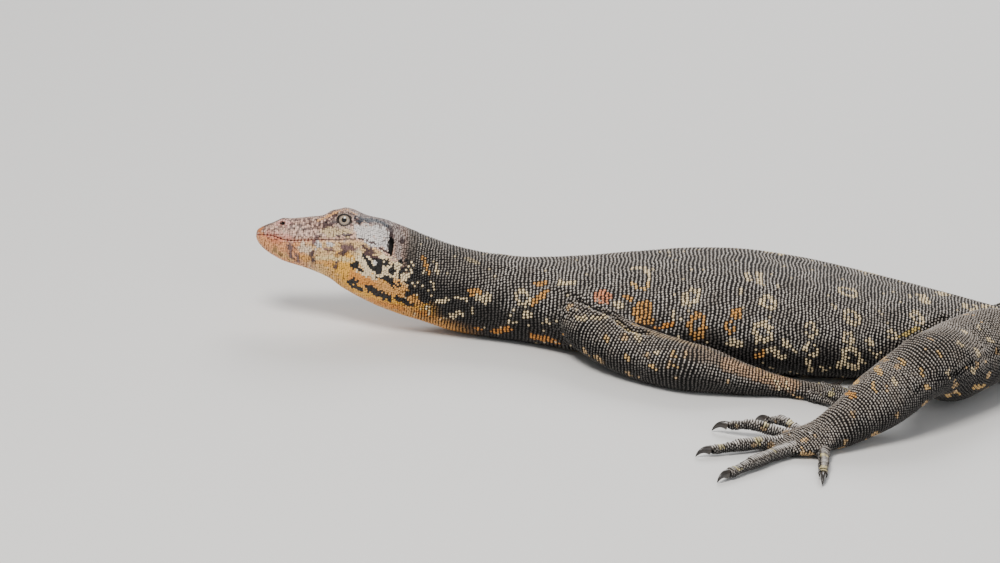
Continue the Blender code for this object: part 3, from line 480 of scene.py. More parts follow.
def stand_up(stations, out, above):
    """Turns section coordinates by the roll and sets them upright on the spine, above the floor."""
    roll = np.radians(smooth(ROLL, stations[:, 0]))
    level = smooth(BODY, stations[:, 0])[:, :1]
    across = out * np.cos(roll) + above * np.sin(roll)
    height = level - out * np.sin(roll) + above * np.cos(roll)
    x, y, heading = (value[:, None] for value in spine(stations[:, 0]))
    return np.stack((
        x - across * np.sin(heading), y + across * np.cos(heading), np.maximum(height, COAT),
    ), axis=2)


def body_grid(stations, angles, relief=False):
    """Skin of the trunk, inside the built surface by the coat: a row a station, a column an angle."""
    out, above = section(stations, angles, -COAT)
    along = np.repeat(stations[:, None], angles.shape[-1], axis=1)
    if relief:
        points = np.stack((along, out, above), axis=2)
        points += grid_normals(points) * head_relief(along, above)[:, :, None]
        out, above = points[:, :, 1], points[:, :, 2]
    return stand_up(along, out, above)


def row_interp(wanted, knots, values):
    """Linear interpolation in each row on its own, by setting all rows one after another on one line."""
    span = knots.max() - knots.min() + 1.0
    shift = np.arange(len(knots))[:, None] * span
    return np.interp((wanted + shift).ravel(), (knots + shift).ravel(), values.ravel()).reshape(wanted.shape)


def head_angles(stations):
    """Angles of columns from the line of the mouth to top and bottom, closer together near the mouth."""
    level, top, under, _ = (column[:, None] for column in smooth(BODY, stations).T)
    mouth = smooth(MOUTH, stations)
    power = np.where(mouth >= 0, smooth(UPPER_POWER, stations), smooth(LOWER_POWER, stations))
    share = np.abs(mouth) / np.where(mouth >= 0, top - level, level - under)
    start = np.sign(mouth) * np.arcsin(np.minimum(share, 1.0) ** (power / 2))
    halves = []
    for end, count in ((math.pi / 2, HEAD_UPPER), (-math.pi / 2, HEAD_LOWER)):
        dense = start + (end - start) * np.linspace(0, 1, 160)[None, :]
        out, above = section(stations, dense, 0.0)
        steps = np.hypot(np.diff(out, axis=1), np.diff(above, axis=1)) + 1e-6
        close = 1 + 2.2 * bell((above - mouth)[:, 1:], 2.4)
        counted = np.hstack((np.zeros_like(start), np.cumsum(steps * close, axis=1)))
        counted /= counted[:, -1:]
        even = np.repeat(np.linspace(0, 1, count + 1)[None, :], len(stations), axis=0)
        halves.append(row_interp(even, counted, dense))
    right = np.hstack((halves[1][:, :0:-1], halves[0]))
    return np.hstack((right, math.pi - right[:, -2:0:-1]))


def head_axes(place, side):
    """Centre and axes (back, out to the right, up) of the head at a place on one of its sides."""
    station, out, above = place
    roll = math.radians(float(smooth(ROLL, station)[0, 0]))
    level = float(smooth(BODY, station)[0, 0])
    axes = np.array(((1, 0, 0), (0, math.cos(roll), -math.sin(roll)), (0, math.sin(roll), math.cos(roll))))
    return np.array((station, 0.0, level)) + side * out * axes[1] + above * axes[2], axes


def eye_axes(side):
    """Centre of an eyeball and its axes: up, along the slit, and the line of sight."""
    centre, axes = head_axes(EYE_CENTRE, side)
    sight = unit(
        -math.sin(EYE_FORWARD) * axes[0] + side * math.cos(EYE_FORWARD) * axes[1]
        + math.tan(EYE_RAISED) * axes[2]
    )
    upward = unit(axes[2] - sight * (axes[2] @ sight))
    return centre, np.array((upward, np.cross(sight, upward), sight))


def eye_place(points, side):
    """Place of points in an eye's axes, and how far out they lie in the ellipse of its opening."""
    centre, axes = eye_axes(side)
    local = (points - centre) @ axes.T
    spread = np.hypot(local[..., 0] / EYE_OPENING[0], local[..., 1] / EYE_OPENING[1])
    return local, np.where(local[..., 2] > 0, spread, 9.0)


def shape_eyes(points):
    """Skin pushed out to a ball round each eye, with the opening let in to below the eyeball."""
    for _, side in SIDES:
        centre, axes = eye_axes(side)
        local, spread = eye_place(points, side)
        radius = np.linalg.norm(local, axis=-1)
        swollen = (radius + LID_BALL + np.sqrt((radius - LID_BALL) ** 2 + 0.5)) / 2
        near = ease(radius, 12.0, 8.5) * ease(local[..., 2], -1.0, 2.0)
        wanted = radius + near * (swollen - radius)
        wanted -= (LID_BALL - 4.6) * ease(spread, 1.04, 0.9) * (near > 0)
        points = points + unit(local) @ axes * (wanted - radius)[..., None]
    return points


def hole_share(points, hole, side):
    """Distance of points from the middle of a nostril or ear, as a share of its half sizes."""
    place, half_sizes = hole
    centre, axes = head_axes(place, side)
    return np.linalg.norm(((points - centre) @ axes.T) / np.array(half_sizes), axis=-1)


def shape_holes(points):
    """Nostrils and ears: pits with a raised rim, as bells of the share of their half sizes."""
    normals = grid_normals(points)
    moved = np.zeros(points.shape[:2])
    for _, side in SIDES:
        for hole, depth, rim in HOLES:
            share = hole_share(points, hole, side)
            moved += rim * bell(share - 1.35, 0.45) - depth * ease(share, 1.1, 0.5)
    return points + normals * moved[:, :, None]


def head_surface():
    """Grid of the head's skin and the section coordinates of its points."""
    turned = np.radians(np.linspace(4, 84, 14))
    nose = SNOUT + NOSE_LENGTH * (1 - np.cos(turned))
    rows = int((HEAD_JOIN - SNOUT - NOSE_LENGTH) / HEAD_STEP)
    stations = np.concatenate((nose, np.linspace(SNOUT + NOSE_LENGTH, HEAD_JOIN, rows)))
    points = body_grid(stations, head_angles(stations), relief=True)
    return shape_holes(shape_eyes(points)), stations


def rings_round(centres, across, over):
    """Rings of points round a path and square to it, set off level across it and upright over it."""
    tangents = unit(np.gradient(centres, axis=0))
    level = unit(np.cross(UP, tangents))
    upright = np.cross(tangents, level)
    rings = centres[:, None] + level[:, None] * across[:, :, None] + upright[:, None] * over[:, :, None]
    return rings, tangents


def sweep(centres, widths, heights, sides):
    """Rings of an oval tube, by cosine and sine of the turn round it, that stay above the floor."""
    turn = (np.arange(sides) + 0.5) * 2 * math.pi / sides
    rings, tangents = rings_round(centres, widths[:, None] * np.cos(turn), heights[:, None] * np.sin(turn))
    rings[:, :, 2] = np.maximum(rings[:, :, 2], COAT)
    return rings, tangents


def placed(points, side, pivot, turn):
    """Turns (x, out, ...) rows in plan about a pivot, by a positive turn outwards, and puts out on a side."""
    points = np.array(points, float)
    x, out = points[:, 0] - pivot[0], points[:, 1] - pivot[1]
    points[:, 0] = pivot[0] + x * math.cos(turn) - out * math.sin(turn)
    points[:, 1] = side * (pivot[1] + x * math.sin(turn) + out * math.cos(turn))
    return points


def along_path(table, count):
    """Points between the rows of a path, evenly counted in each of its lengths, by length along it."""
    chords = np.linalg.norm(np.diff(table[:, :3], axis=0), axis=1)
    knots = np.concatenate(([0], np.cumsum(chords)))
    spread = np.interp(np.linspace(0, len(knots) - 1, count), np.arange(len(knots)), knots)
    return smooth(np.column_stack((knots, table)), spread)


def limb_rings(table):
    """Skin of a limb from its root in the trunk to the end of its palm or sole."""
    values = along_path(table, (len(table) - 1) * LIMB_STEPS + 1)
    return sweep(values[:, :3], values[:, 3] - COAT, values[:, 4] - COAT, LIMB_SIDES)[0]


def digit_values(row, root, ahead, sideways):
    """Middle line and radius of a finger or toe, over its knuckle to its tip, and how the joints swell it."""
    knuckle_ahead, knuckle_aside, tip_ahead, tip_aside, radius, arch = row
    knuckle = root + ahead * knuckle_ahead + sideways * knuckle_aside
    end = root + ahead * tip_ahead + sideways * tip_aside
    tip = radius * DIGIT_TAPER
    middle = (radius + tip) / 2
    table = np.array((
        (*root, radius * DIGIT_REST, radius),
        (*knuckle, radius * DIGIT_REST + arch * ARCH_ENDS, radius),
        (*(knuckle + end) / 2, middle * DIGIT_REST + arch, middle),
        (*end, tip * DIGIT_REST + arch * ARCH_ENDS, tip),
    ))
    values = along_path(table, DIGIT_STEPS)
    swell = 1 + KNUCKLE_SWELL * np.cos(np.linspace(0, 2 * math.pi * KNUCKLES, DIGIT_STEPS))
    return values[:, :3], values[:, 3] * swell


def limb_parts():
    """Every limb as a name, side, skin rings, rings of its digits, and what its claws grow from."""
    limbs = []
    for name, side in SIDES:
        arm = placed(ARM, side, SHOULDER_PIVOT, RIGHT_ARM_TURN if name == "right" else 0.0)
        leg = placed(LEFT_LEG if name == "left" else RIGHT_LEG, side, (0.0, 0.0), 0.0)
        for kind, end, table, rows in (("arm", "hand", arm, FINGERS), ("leg", "foot", leg, TOES)):
            palm_up = kind == "arm" and name == "left"
            ahead = table[-1, :2] - table[LOWER_JOINT, :2]
            ahead /= np.linalg.norm(ahead)
            root = table[LOWER_JOINT, :2] + ahead * DIGIT_ROOT[end]
            aside = math.copysign(1.0, table[0, 1]) * (-1 if palm_up else 1)
            across = np.array((ahead[1], -ahead[0])) * aside
            digits, claws = [], []
            for number, row in enumerate(rows, 1):
                centres, radius = digit_values(row, root, ahead, across)
                rings, tangents = sweep(centres, radius - COAT, radius - COAT, DIGIT_SIDES)
                digits.append(rings)
                claws.append((f"claw_{end}_{name}_{number}", centres[-1], tangents[-1], radius[-1], palm_up))
            limbs.append({
                "name": f"{kind}_{name}", "side": side, "end": end, "rings": limb_rings(table),
                "digits": digits, "claws": claws,
            })
    return limbs


def tube_faces(count, sides):
    """Quads between the rings of a closed tube, as an array of corners, facing out."""
    side = np.arange(sides)
    beside = (side + 1) % sides
    low = np.arange(count - 1)[:, None] * sides
    quads = np.stack((low + side, low + beside, low + sides + beside, low + sides + side), axis=2)
    return quads.reshape(-1, 4)


def closed_tube(rings, ends=None):
    """Vertices and faces of a tube closed by fans to two points, or else to the middles of its end rings."""
    count, sides = rings.shape[:2]
    start, end = ends or (rings[0].mean(axis=0), rings[-1].mean(axis=0))
    vertices = np.vstack((rings.reshape(-1, 3), start, end))
    last = (count - 1) * sides
    fans = [(count * sides, (side + 1) % sides, side) for side in range(sides)]
    fans += [(count * sides + 1, last + side, last + (side + 1) % sides) for side in range(sides)]
    return vertices, tube_faces(count, sides).tolist() + fans


def linked(name, data):
    """A new object in the scene, at the origin."""
    made = bpy.data.objects.new(name, data)
    bpy.context.scene.collection.objects.link(made)
    return made


def new_object(name, vertices, faces):
    """Object with a mesh made from millimetres, shaded smooth."""
    mesh = bpy.data.meshes.new(name)
    mesh.from_pydata((np.asarray(vertices) * MM).tolist(), [], faces)
    mesh.shade_smooth()
    return linked(name, mesh)


def outwards(mesh):
    """Turns the faces of a closed mesh outwards."""
    working = bmesh.new()
    working.from_mesh(mesh)
    bmesh.ops.recalc_face_normals(working, faces=working.faces)
    working.to_mesh(mesh)
    working.free()


def coordinates(mesh):
    """Vertices of a mesh in millimetres."""
    values = np.empty(len(mesh.vertices) * 3, np.float32)
    mesh.vertices.foreach_get("co", values)
    return values.reshape(-1, 3).astype(float) / MM


def edge_pairs(mesh):
    """Both vertices of each edge."""
    edges = np.empty(len(mesh.edges) * 2, np.int32)
    mesh.edges.foreach_get("vertices", edges)
    return edges.reshape(-1, 2)


def write_uv(mesh, name, places):
    """A flat map that gives each corner of a face the place of its vertex."""
    corners = np.empty(len(mesh.loops), np.int32)
    mesh.loops.foreach_get("vertex_index", corners)
    flat = mesh.uv_layers.new(name=name)
    flat.uv.foreach_set("vector", places[corners].astype(np.float32).ravel())


def place_tree(places):
    """Tree for finding the nearest of some places."""
    tree = KDTree(len(places))
    for index, place in enumerate(places.tolist()):
        tree.insert(place, index)
    tree.balance()
    return tree


def set_coordinates(mesh, points):
    """Writes vertices back from millimetres."""
    mesh.vertices.foreach_set("co", (points * MM).astype(np.float32).ravel())
    mesh.update()


def remeshed_body(limbs):
    """Trunk, limbs and digits as closed tubes, taken together as one skin of even small faces."""
    stations = np.arange(HEAD_JOIN - 14, TAIL_JOIN + 40, TRUNK_STEP)
    angles = np.arange(TRUNK_COLUMNS)[None, :] * 2 * math.pi / TRUNK_COLUMNS
    tubes = [body_grid(stations, angles)]
    for limb in limbs:
        tubes.append(limb["rings"])
        tubes.extend(limb["digits"])
    vertices, faces, first = [], [], 0
    for rings in tubes:
        points, corners = closed_tube(rings)
        vertices.append(points)
        faces.extend([tuple(first + corner for corner in face) for face in corners])
        first += len(points)
    body = new_object("body", np.vstack(vertices), faces)
    remesh = body.modifiers.new("remesh", "REMESH")
    remesh.mode = "VOXEL"
    remesh.voxel_size = VOXEL * MM
    graph = bpy.context.evaluated_depsgraph_get()
    mesh = bpy.data.meshes.new_from_object(body.evaluated_get(graph))
    bpy.data.objects.remove(body)
    return mesh


def relax(mesh):
    """Smooths the skin near the limbs' roots: points move towards the mean of their neighbours."""
    points = coordinates(mesh)
    a, b = edge_pairs(mesh).T
    count = np.maximum(np.bincount(a, minlength=len(points)) + np.bincount(b, minlength=len(points)), 1)
    weight = np.full(len(points), 0.06)
    for x, y, z, reach in FILLETS:
        weight = np.maximum(weight, 0.6 * bell(np.linalg.norm(points - (x, y, z), axis=1), reach))
    for _ in range(FILLET_ROUNDS):
        total = np.stack([
            np.bincount(a, points[b, axis], len(points)) + np.bincount(b, points[a, axis], len(points))
            for axis in range(3)
        ], axis=1)
        points += weight[:, None] * (total / count[:, None] - points)
    points[:, 2] = np.maximum(points[:, 2], COAT)
    set_coordinates(mesh, points)


def add_grid(working, rings, tip):
    """Adds a tube closed at its tip to a mesh, and gives the edges of its open end."""
    count, sides = rings.shape[:2]
    points = np.vstack((rings.reshape(-1, 3), tip)) * MM
    made = [working.verts.new(point) for point in points.tolist()]
    for face in tube_faces(count, sides).tolist():
        working.faces.new([made[corner] for corner in face])
    for side in range(sides):
        working.faces.new((made[-1], made[(side + 1) % sides], made[side]))
    last = (count - 1) * sides
    return [working.edges.get((made[last + side], made[last + (side + 1) % sides])) for side in range(sides)]


def cut_loop(working, station, outward):
    """Cuts the trunk square at a station, clears what lies beyond, and gives the edges of the cut."""
    x, y, heading = (float(value[0]) for value in spine(np.array([station])))
    place = Vector((x, y, 0.0)) * MM
    along = Vector((math.cos(heading), math.sin(heading), 0.0)) * outward
    near = [face for face in working.faces if abs(face.calc_center_median().y - place.y) < 75 * MM]
    parts = set(near)
    for face in near:
        parts.update(face.verts)
        parts.update(face.edges)
    bmesh.ops.bisect_plane(working, geom=list(parts), plane_co=place, plane_no=along, clear_outer=True)
    return [edge for edge in working.edges if edge.is_boundary]


def make_skin_mesh(limbs, head):
    """One closed skin: remeshed body, with the fine head and the tail bridged on."""
    mesh = remeshed_body(limbs)
    relax(mesh)
    working = bmesh.new()
    working.from_mesh(mesh)
    front = cut_loop(working, HEAD_JOIN + 1.0, -1.0)
    tip = np.array((SNOUT, 0.0, float(smooth(BODY, SNOUT)[0, 0])))
    bmesh.ops.bridge_loops(working, edges=front + add_grid(working, head, tip))
    back = cut_loop(working, TAIL_JOIN - 1.0, 1.0)
    stations = np.arange(TAIL_JOIN, TAIL_END, TAIL_STEP)[::-1]
    angles = np.arange(TAIL_COLUMNS)[None, :] * 2 * math.pi / TAIL_COLUMNS
    tail = body_grid(stations, angles)[:, ::-1]
    end = tail[0].mean(axis=0)
    bmesh.ops.bridge_loops(working, edges=back + add_grid(working, tail, end))
    bmesh.ops.recalc_face_normals(working, faces=working.faces)
    working.to_mesh(mesh)
    working.free()
    mesh.name = "skin"
    mesh.materials.clear()
    mesh.shade_smooth()
    return mesh


def view_axes():
    """The view's right, up and back, with right and up turned by the roll."""
    back = np.array((0.0, -math.cos(VIEW_DOWN), math.sin(VIEW_DOWN)))
    along, upright = np.array((1.0, 0.0, 0.0)), np.array((0.0, math.sin(VIEW_DOWN), math.cos(VIEW_DOWN)))
    right = along * math.cos(VIEW_ROLL) + upright * math.sin(VIEW_ROLL)
    return right, upright * math.cos(VIEW_ROLL) - along * math.sin(VIEW_ROLL), back


def pixel_ray(x, y):
    """Start and direction of the line of sight through a pixel of the photograph, in millimetres."""
    right, up, back = view_axes()
    scale = VIEW_WIDTH / PICTURE[0] / MM
    middle = np.array(VIEW_CENTRE) / MM
    target = middle + right * (x - PICTURE[0] / 2) * scale + up * (PICTURE[1] / 2 - y) * scale
    start = middle + back * VIEW_DISTANCE / MM
    return start, unit(target - start)


def seen_point(tree, x, y):
    """Point of the skin that a pixel of the photograph shows, or the first one straight below it."""
    for lower in range(LOOK_BELOW):
        start, direction = pixel_ray(x, y + lower)
        hit = tree.ray_cast(Vector(start), Vector(direction))[0]
        if hit is not None:
            return np.array(hit)
    raise ValueError(f"no skin at pixel {x}, {y}")


def to_section(points):
    """Station, out and above of points near the trunk, from the nearest place on the spine."""
    lengths = np.linspace(TAIL_CUT, TAIL_END, NEAREST_STEPS)
    x, y, heading = spine(lengths)
    stations, across = points[:, 0].copy(), points[:, 1].copy()
    behind = np.flatnonzero(points[:, 0] > TAIL_CUT - 5)
    offset = points[behind, None, :2] - np.stack((x, y), axis=1)[None]
    nearest = np.argmin((offset ** 2).sum(axis=2), axis=1)
    turn = heading[nearest]
    chosen = offset[np.arange(len(behind)), nearest]
    stations[behind] = lengths[nearest] + chosen[:, 0] * np.cos(turn) + chosen[:, 1] * np.sin(turn)
    across[behind] = chosen[:, 1] * np.cos(turn) - chosen[:, 0] * np.sin(turn)
    roll = np.radians(smooth(ROLL, stations)[:, 0])
    height = points[:, 2] - smooth(BODY, stations)[:, 0]
    out = across * np.cos(roll) - height * np.sin(roll)
    return np.stack((stations, out, across * np.sin(roll) + height * np.cos(roll)), axis=1)


def ripple(points, length, seed):
    """Smooth wandering between about -1 and 1: seven sines in random directions."""
    random = np.random.default_rng(seed)
    waves = unit(random.normal(size=(7, 3))) * 2 * math.pi / length * random.uniform(0.6, 1.4, (7, 1))
    return np.sin(points @ waves.T + random.uniform(0, 6.28, 7)).sum(axis=1) / 3.0


def sample(grid, row, column):
    """Values of a closed grid between its points, linear in both directions."""
    low = np.clip(row.astype(int), 0, len(grid) - 2)
    left = column.astype(int) % grid.shape[1]
    right = (left + 1) % grid.shape[1]
    down, over = (row - low)[:, None], (column - np.floor(column))[:, None]
    lower = grid[low, left] * (1 - over) + grid[low, right] * over
    upper = grid[low + 1, left] * (1 - over) + grid[low + 1, right] * over
    return lower * (1 - down) + upper * down


def lay_rows(points, row_pitch, side_pitch):
    """Rows and columns of the scales on a closed grid.

    Rows run across the grid, a row pitch apart. In each the scales are evenly spaced round it, by length over
    side pitch, and every other row is set off by half a scale.
    """
    ahead = np.linalg.norm(np.diff(points, axis=0), axis=2).mean(axis=1)
    counted = np.concatenate(([0], np.cumsum(2 * ahead / (row_pitch[1:] + row_pitch[:-1]))))
    rows = np.interp(np.arange(0.5, counted[-1], 1.0), counted, np.arange(len(points)))
    low = np.minimum(rows.astype(int), len(points) - 2)
    part = (rows - low)[:, None]
    rings = points[low] * (1 - part[..., None]) + points[low + 1] * part[..., None]
    pitch = side_pitch[low] * (1 - part) + side_pitch[low + 1] * part
    steps = np.linalg.norm(np.roll(rings, -1, axis=1) - rings, axis=2) / pitch
    counted = np.hstack((np.zeros((len(rows), 1)), np.cumsum(steps, axis=1)))
    number = np.maximum(np.round(counted[:, -1]).astype(int), 3)
    counted *= (number / counted[:, -1])[:, None]
    first = np.cumsum(number) - number
    row_of = np.repeat(np.arange(len(rows)), number)
    place = np.arange(len(row_of)) - first[row_of] + 0.5 * (row_of % 2)
    apart = first + np.arange(len(rows))
    index = np.tile(np.arange(points.shape[1] + 1), len(rows))
    columns = np.interp(place + apart[row_of], (counted + apart[:, None]).ravel(), index)
    return rows[row_of], columns


def scale_group(place, ahead, normal, root, **measures):
    """Scales with their places, directions to the tail or tip and outwards, roots on the unwrap and measures.

    A measure is one number for all or one for each: half length, half width, height as a share of the
    smaller one, spread of the shoulder, bend across, dust and painted sheen on the top, and how far the
    scale was moved.
    """
    group = {"place": place, "ahead": ahead, "normal": normal, "root": root}
    for key, value in {**USUAL_SCALE, **measures}.items():
        group[key] = np.full(len(place), value)
    return group


def on_grid(points, row, column, tile=0, **measures):
    """Scales at rows and columns of a closed grid, turned as it is, with roots on its tile of the unwrap."""
    ahead = sample(unit(np.gradient(points, axis=0)), row, column)
    normal = unit(sample(grid_normals(points), row, column))
    root = (
        tile + TILE_EDGE + TILE_REACH * row / len(points), TILE_EDGE + TILE_REACH * column / points.shape[1],
    )
    return scale_group(sample(points, row, column), ahead, normal, np.stack(root, axis=1), **measures)


def cover(points, row_pitch, side_pitch, random, tile=0, wave=ROW_WAVE, stray=STRAY):
    """Scales on a closed grid, in rows that wander together and with each scale a little out of place."""
    row, column = lay_rows(points, row_pitch, side_pitch)
    high = np.interp(row, np.arange(len(points)), row_pitch)
    wide = sample(side_pitch[:, :, None], row, column)[:, 0]
    along, around = np.gradient(points, axis=0), np.roll(points, -1, axis=1) - points
    down = high / np.linalg.norm(sample(along, row, column), axis=1)
    over = wide / np.maximum(np.linalg.norm(sample(around, row, column), axis=1), 0.05)
    here = sample(points, row, column)
    shift = wave * ripple(here * (0.7, 1.0, 1.4), WAVE_LENGTH, 21 + tile)
    row = np.clip(row + (shift + random.uniform(-stray, stray, len(row))) * down, 0, len(points) - 1.001)
    column = (column + random.uniform(-stray, stray, len(row)) * over) % points.shape[1]
    return on_grid(points, row, column, tile, length=high * FILL_LENGTH, width=wide * FILL_WIDTH)


def joined(groups):
    """Several groups of scales as one."""
    return {key: np.concatenate([group[key] for group in groups]) for key in groups[0]}


def chosen(scales, kept):
    """Only some of the scales."""
    return {key: values[kept] for key, values in scales.items()}


def eye_granules(side):
    """Rings of small scales on the lids' ball, round the ellipse of the opening."""
    centre, axes = eye_axes(side)
    groups = []
    for number, (spread, pitch) in enumerate(LID_RINGS):
        count = int(2 * math.pi * spread * sum(EYE_OPENING) / 2 / pitch)
        turn = (np.arange(count) + 0.5 * (number % 2)) * 2 * math.pi / count
        ellipse = (EYE_OPENING[0] * spread * np.cos(turn), EYE_OPENING[1] * spread * np.sin(turn))
        flat = np.stack(ellipse, axis=1)
        flat *= np.minimum(1.0, 0.97 * LID_BALL / np.linalg.norm(flat, axis=1))[:, None]
        depth = np.sqrt(LID_BALL ** 2 - (flat ** 2).sum(axis=1))
        local = np.column_stack((flat, depth))
        around = np.roll(local, -1, axis=0) - np.roll(local, 1, axis=0)
        root = np.stack((TILE_EDGE + TILE_REACH * turn / 7, np.full(count, spread / 2)), axis=1)
        groups.append(scale_group(
            centre + local @ axes, unit(around) @ axes, unit(local) @ axes, root, moved=-1.0,
            length=pitch * 0.52, width=pitch * 0.5, height=HEAD_RISE, spread=HEAD_SPREAD,
        ))
    return joined(groups)


def lip_plates(head, stations):
    """Two rows of plates along the mouth on each side, a fixed height over and under its line."""
    groups, steps = [], np.arange(14)
    middle = {1.0: HEAD_LOWER, -1.0: head.shape[1] - HEAD_LOWER}
    rows = np.interp(np.arange(-331.0, MOUTH_CORNER - 4, LIP_PITCH), stations, np.arange(len(stations)))
    for _, side in SIDES:
        for over in (1.0, -1.0):
            columns = (middle[side] + side * over * steps).astype(int) % head.shape[1]
            apart = np.linalg.norm(np.diff(head[:, columns], axis=1), axis=2)
            reach = np.hstack((np.zeros((len(head), 1)), np.cumsum(apart, axis=1)))
            share = row_interp(np.full((len(head), 1), LIP_OUT), reach, np.tile(steps, (len(head), 1)))
            column = middle[side] + side * over * np.interp(rows, np.arange(len(head)), share[:, 0])
            groups.append(on_grid(
                head, rows, column % head.shape[1], moved=-0.5,
                length=LIP_PLATE[0], width=LIP_PLATE[1], height=HEAD_RISE, spread=HEAD_SPREAD,
            ))
    return joined(groups)


def head_scales(head, stations, random):
    """Flat scales of the head, with the eyes, nostrils, ears and the line of the mouth left open."""
    pitch = smooth(TRUNK_PITCH, stations)
    sides = np.repeat(pitch[:, 1:], head.shape[1], axis=1)
    scales = cover(head, pitch[:, 0], sides, random, wave=0.25, stray=HEAD_STRAY)
    rear = ease(stations[0] + scales["root"][:, 0] * (stations[-1] - stations[0]), -262, -230)
    scales["height"] = HEAD_RISE + (SCALE_RISE - HEAD_RISE) * rear
    scales["spread"] = HEAD_SPREAD + (1 - HEAD_SPREAD) * rear
    scales["length"] *= HEAD_FILL * (1 - 0.14 * rear)
    scales["width"] *= HEAD_FILL * (1 - 0.10 * rear)
    at = to_section(scales["place"])
    from_mouth = np.abs(at[:, 2] - smooth(MOUTH, at[:, 0])[:, 0])
    kept = (from_mouth > 0.75) | (at[:, 0] > MOUTH_CORNER - 2)
    for _, side in SIDES:
        kept &= eye_place(scales["place"], side)[1] > 1.2
        kept &= hole_share(scales["place"], NOSTRIL, side) > 1.15
        kept &= hole_share(scales["place"], EAR, side) > 1.1
    groups = [chosen(scales, kept), lip_plates(head, stations)]
    groups += [eye_granules(side) for _, side in SIDES]
    return thinned(joined(groups), HEAD_THINNING)


def thinned(scales, share):
    """Leaves out each scale that lies within a share of its width of one that moved less."""
    tree = place_tree(scales["place"])
    kept = np.ones(len(scales["place"]), bool)
    reach = share * 2 * np.minimum(scales["width"], scales["length"])
    for index in np.argsort(scales["moved"], kind="stable").tolist():
        if kept[index]:
            for _, other, _ in tree.find_range(Vector(scales["place"][index]), float(reach[index])):
                if other != index:
                    kept[other] = False
    return chosen(scales, kept)


def trunk_scales(random):
    """Scales of neck, torso and tail: broad on the back, pale there with dust and painted sheen, beads low on
    the flank, wider below.
    """
    stations = np.arange(HEAD_JOIN - 0.4, TAIL_END - 1.0, TRUNK_STEP)
    angles = -math.pi / 2 + np.arange(TRUNK_COLUMNS)[None, :] * 2 * math.pi / TRUNK_COLUMNS
    points = body_grid(stations, angles)
    pitch = smooth(TRUNK_PITCH, stations)
    belly = ease(np.sin(angles), -0.6, -0.9) * ease(stations, -150, -110)[:, None]
    scales = cover(points, pitch[:, 0], pitch[:, 1:] * (1 + 0.7 * belly), random)
    at = to_section(scales["place"])
    wander = ripple(scales["place"], 22.0, 31)
    back = ease(at[:, 2] + 5 * wander, -4, 13) * ease(at[:, 0], -230, -150)
    under = ease(scales["normal"][:, 2], -0.5, -0.85)
    scales["length"] *= 0.80 + 0.08 * back + 0.16 * under
    scales["width"] *= 0.90 + 0.14 * back + 0.08 * under
    # Dust and painted sheen on the ridges, most on the back and the top of the neck, which face the light
    scales["dust"] = 0.08 + 0.90 * back * (0.85 + 0.25 * wander)
    neck = ease(at[:, 0], -150, -200)
    scales["dust"] = np.maximum(scales["dust"], 0.42 * neck * ease(at[:, 2], 0, 12))
    return scales


def digit_plates(digit, palm_up, tile):
    """Plates across the back of a digit, one a row, as wide as most of the digit and bent to its curve."""
    heights = digit[:, :, 2].mean(axis=0)
    back = float(np.argmin(heights) if palm_up else np.argmax(heights))
    reach = np.concatenate(([0], np.cumsum(np.linalg.norm(np.diff(digit[:, int(back)], axis=0), axis=1))))
    row = np.interp(np.arange(0.6, reach[-1], PLATE_PITCH), reach, np.arange(len(digit)))
    column = np.full(len(row), back)
    radii = np.linalg.norm(digit - digit.mean(axis=1, keepdims=True), axis=2).mean(axis=1)
    radius = np.interp(row, np.arange(len(digit)), radii)
    return on_grid(
        digit, row, column, tile, length=PLATE_PITCH * 0.54, width=radius * 0.92, spread=HEAD_SPREAD,
        curve=0.55 / radius,
    )


def limb_scales(limb, random):
    """Scales of a limb and of its digits, which have plates across their backs."""
    rings = limb["rings"]
    share = np.linspace(0, 1, len(rings))
    pitch = smooth(LIMB_PITCH, share)
    groups = [cover(rings, pitch[:, 0], np.repeat(pitch[:, 1:], rings.shape[1], axis=1), random)]
    groups[0]["length"] *= 0.86
    groups[0]["width"] *= 0.92
    for number, digit in enumerate(limb["digits"], 1):
        taper = np.linspace(1.0, 0.8, len(digit))
        sides = np.repeat(DIGIT_PITCH[1] * taper[:, None], digit.shape[1], axis=1)
        small = cover(digit, DIGIT_PITCH[0] * taper, sides, random, number, wave=0.0, stray=0.04)
        palm_up = limb["claws"][number - 1][4]
        facing = small["normal"][:, 2] * (-1 if palm_up else 1)
        groups += [chosen(small, facing < 0.62), digit_plates(digit, palm_up, number)]
    scales = joined(groups)
    # Dust and painted sheen on the ridges of the scales that face up, towards the light
    scales["dust"] = 0.14 + 0.80 * ease(scales["normal"][:, 2], -0.4, 0.6)
    scales["root"] = scales["root"] / (len(limb["digits"]) + 1, 1.0)
    return scales


def settled(scales, tree):
    """Scales set on the skin: those that another part of the body covers are left out."""
    found = [tree.find_nearest(place) for place in scales["place"].tolist()]
    nearest = np.array([hit[0] for hit in found])
    normals = np.array([hit[1] for hit in found])
    moved = np.array([hit[3] for hit in found])
    allowed = np.full(len(moved), 1.1)
    for x, y, z, reach in FILLETS:
        near = bell(np.linalg.norm(scales["place"] - (x, y, z), axis=1), reach * 1.2)
        allowed = np.maximum(allowed, 7.0 * ease(near, 0.1, 0.6))
    pull = ease(moved, 0.35, 0.9)[:, None]
    scales["place"] = scales["place"] * (1 - pull) + nearest * pull
    scales["normal"] = unit(scales["normal"] * (1 - 0.8 * pull) + normals * 0.8 * pull)
    scales["moved"] = moved
    return chosen(scales, moved < allowed)


def blend(colours, wanted, share):
    """Colours moved towards another by a share."""
    return colours + np.clip(share, 0, 1)[:, None] * (np.asarray(wanted) - colours)


def layered(colours, *layers):
    """Colours with others laid over them in turn, each by its share."""
    for colour, share in layers:
        colours = blend(colours, colour, share)
    return colours


def from_stroke(points, start, end):
    """Distance of points from the straight line between two points."""
    along = end - start
    part = np.clip((points - start) @ along / max(along @ along, 1e-9), 0, 1)
    return np.linalg.norm(points - start - part[:, None] * along, axis=1)


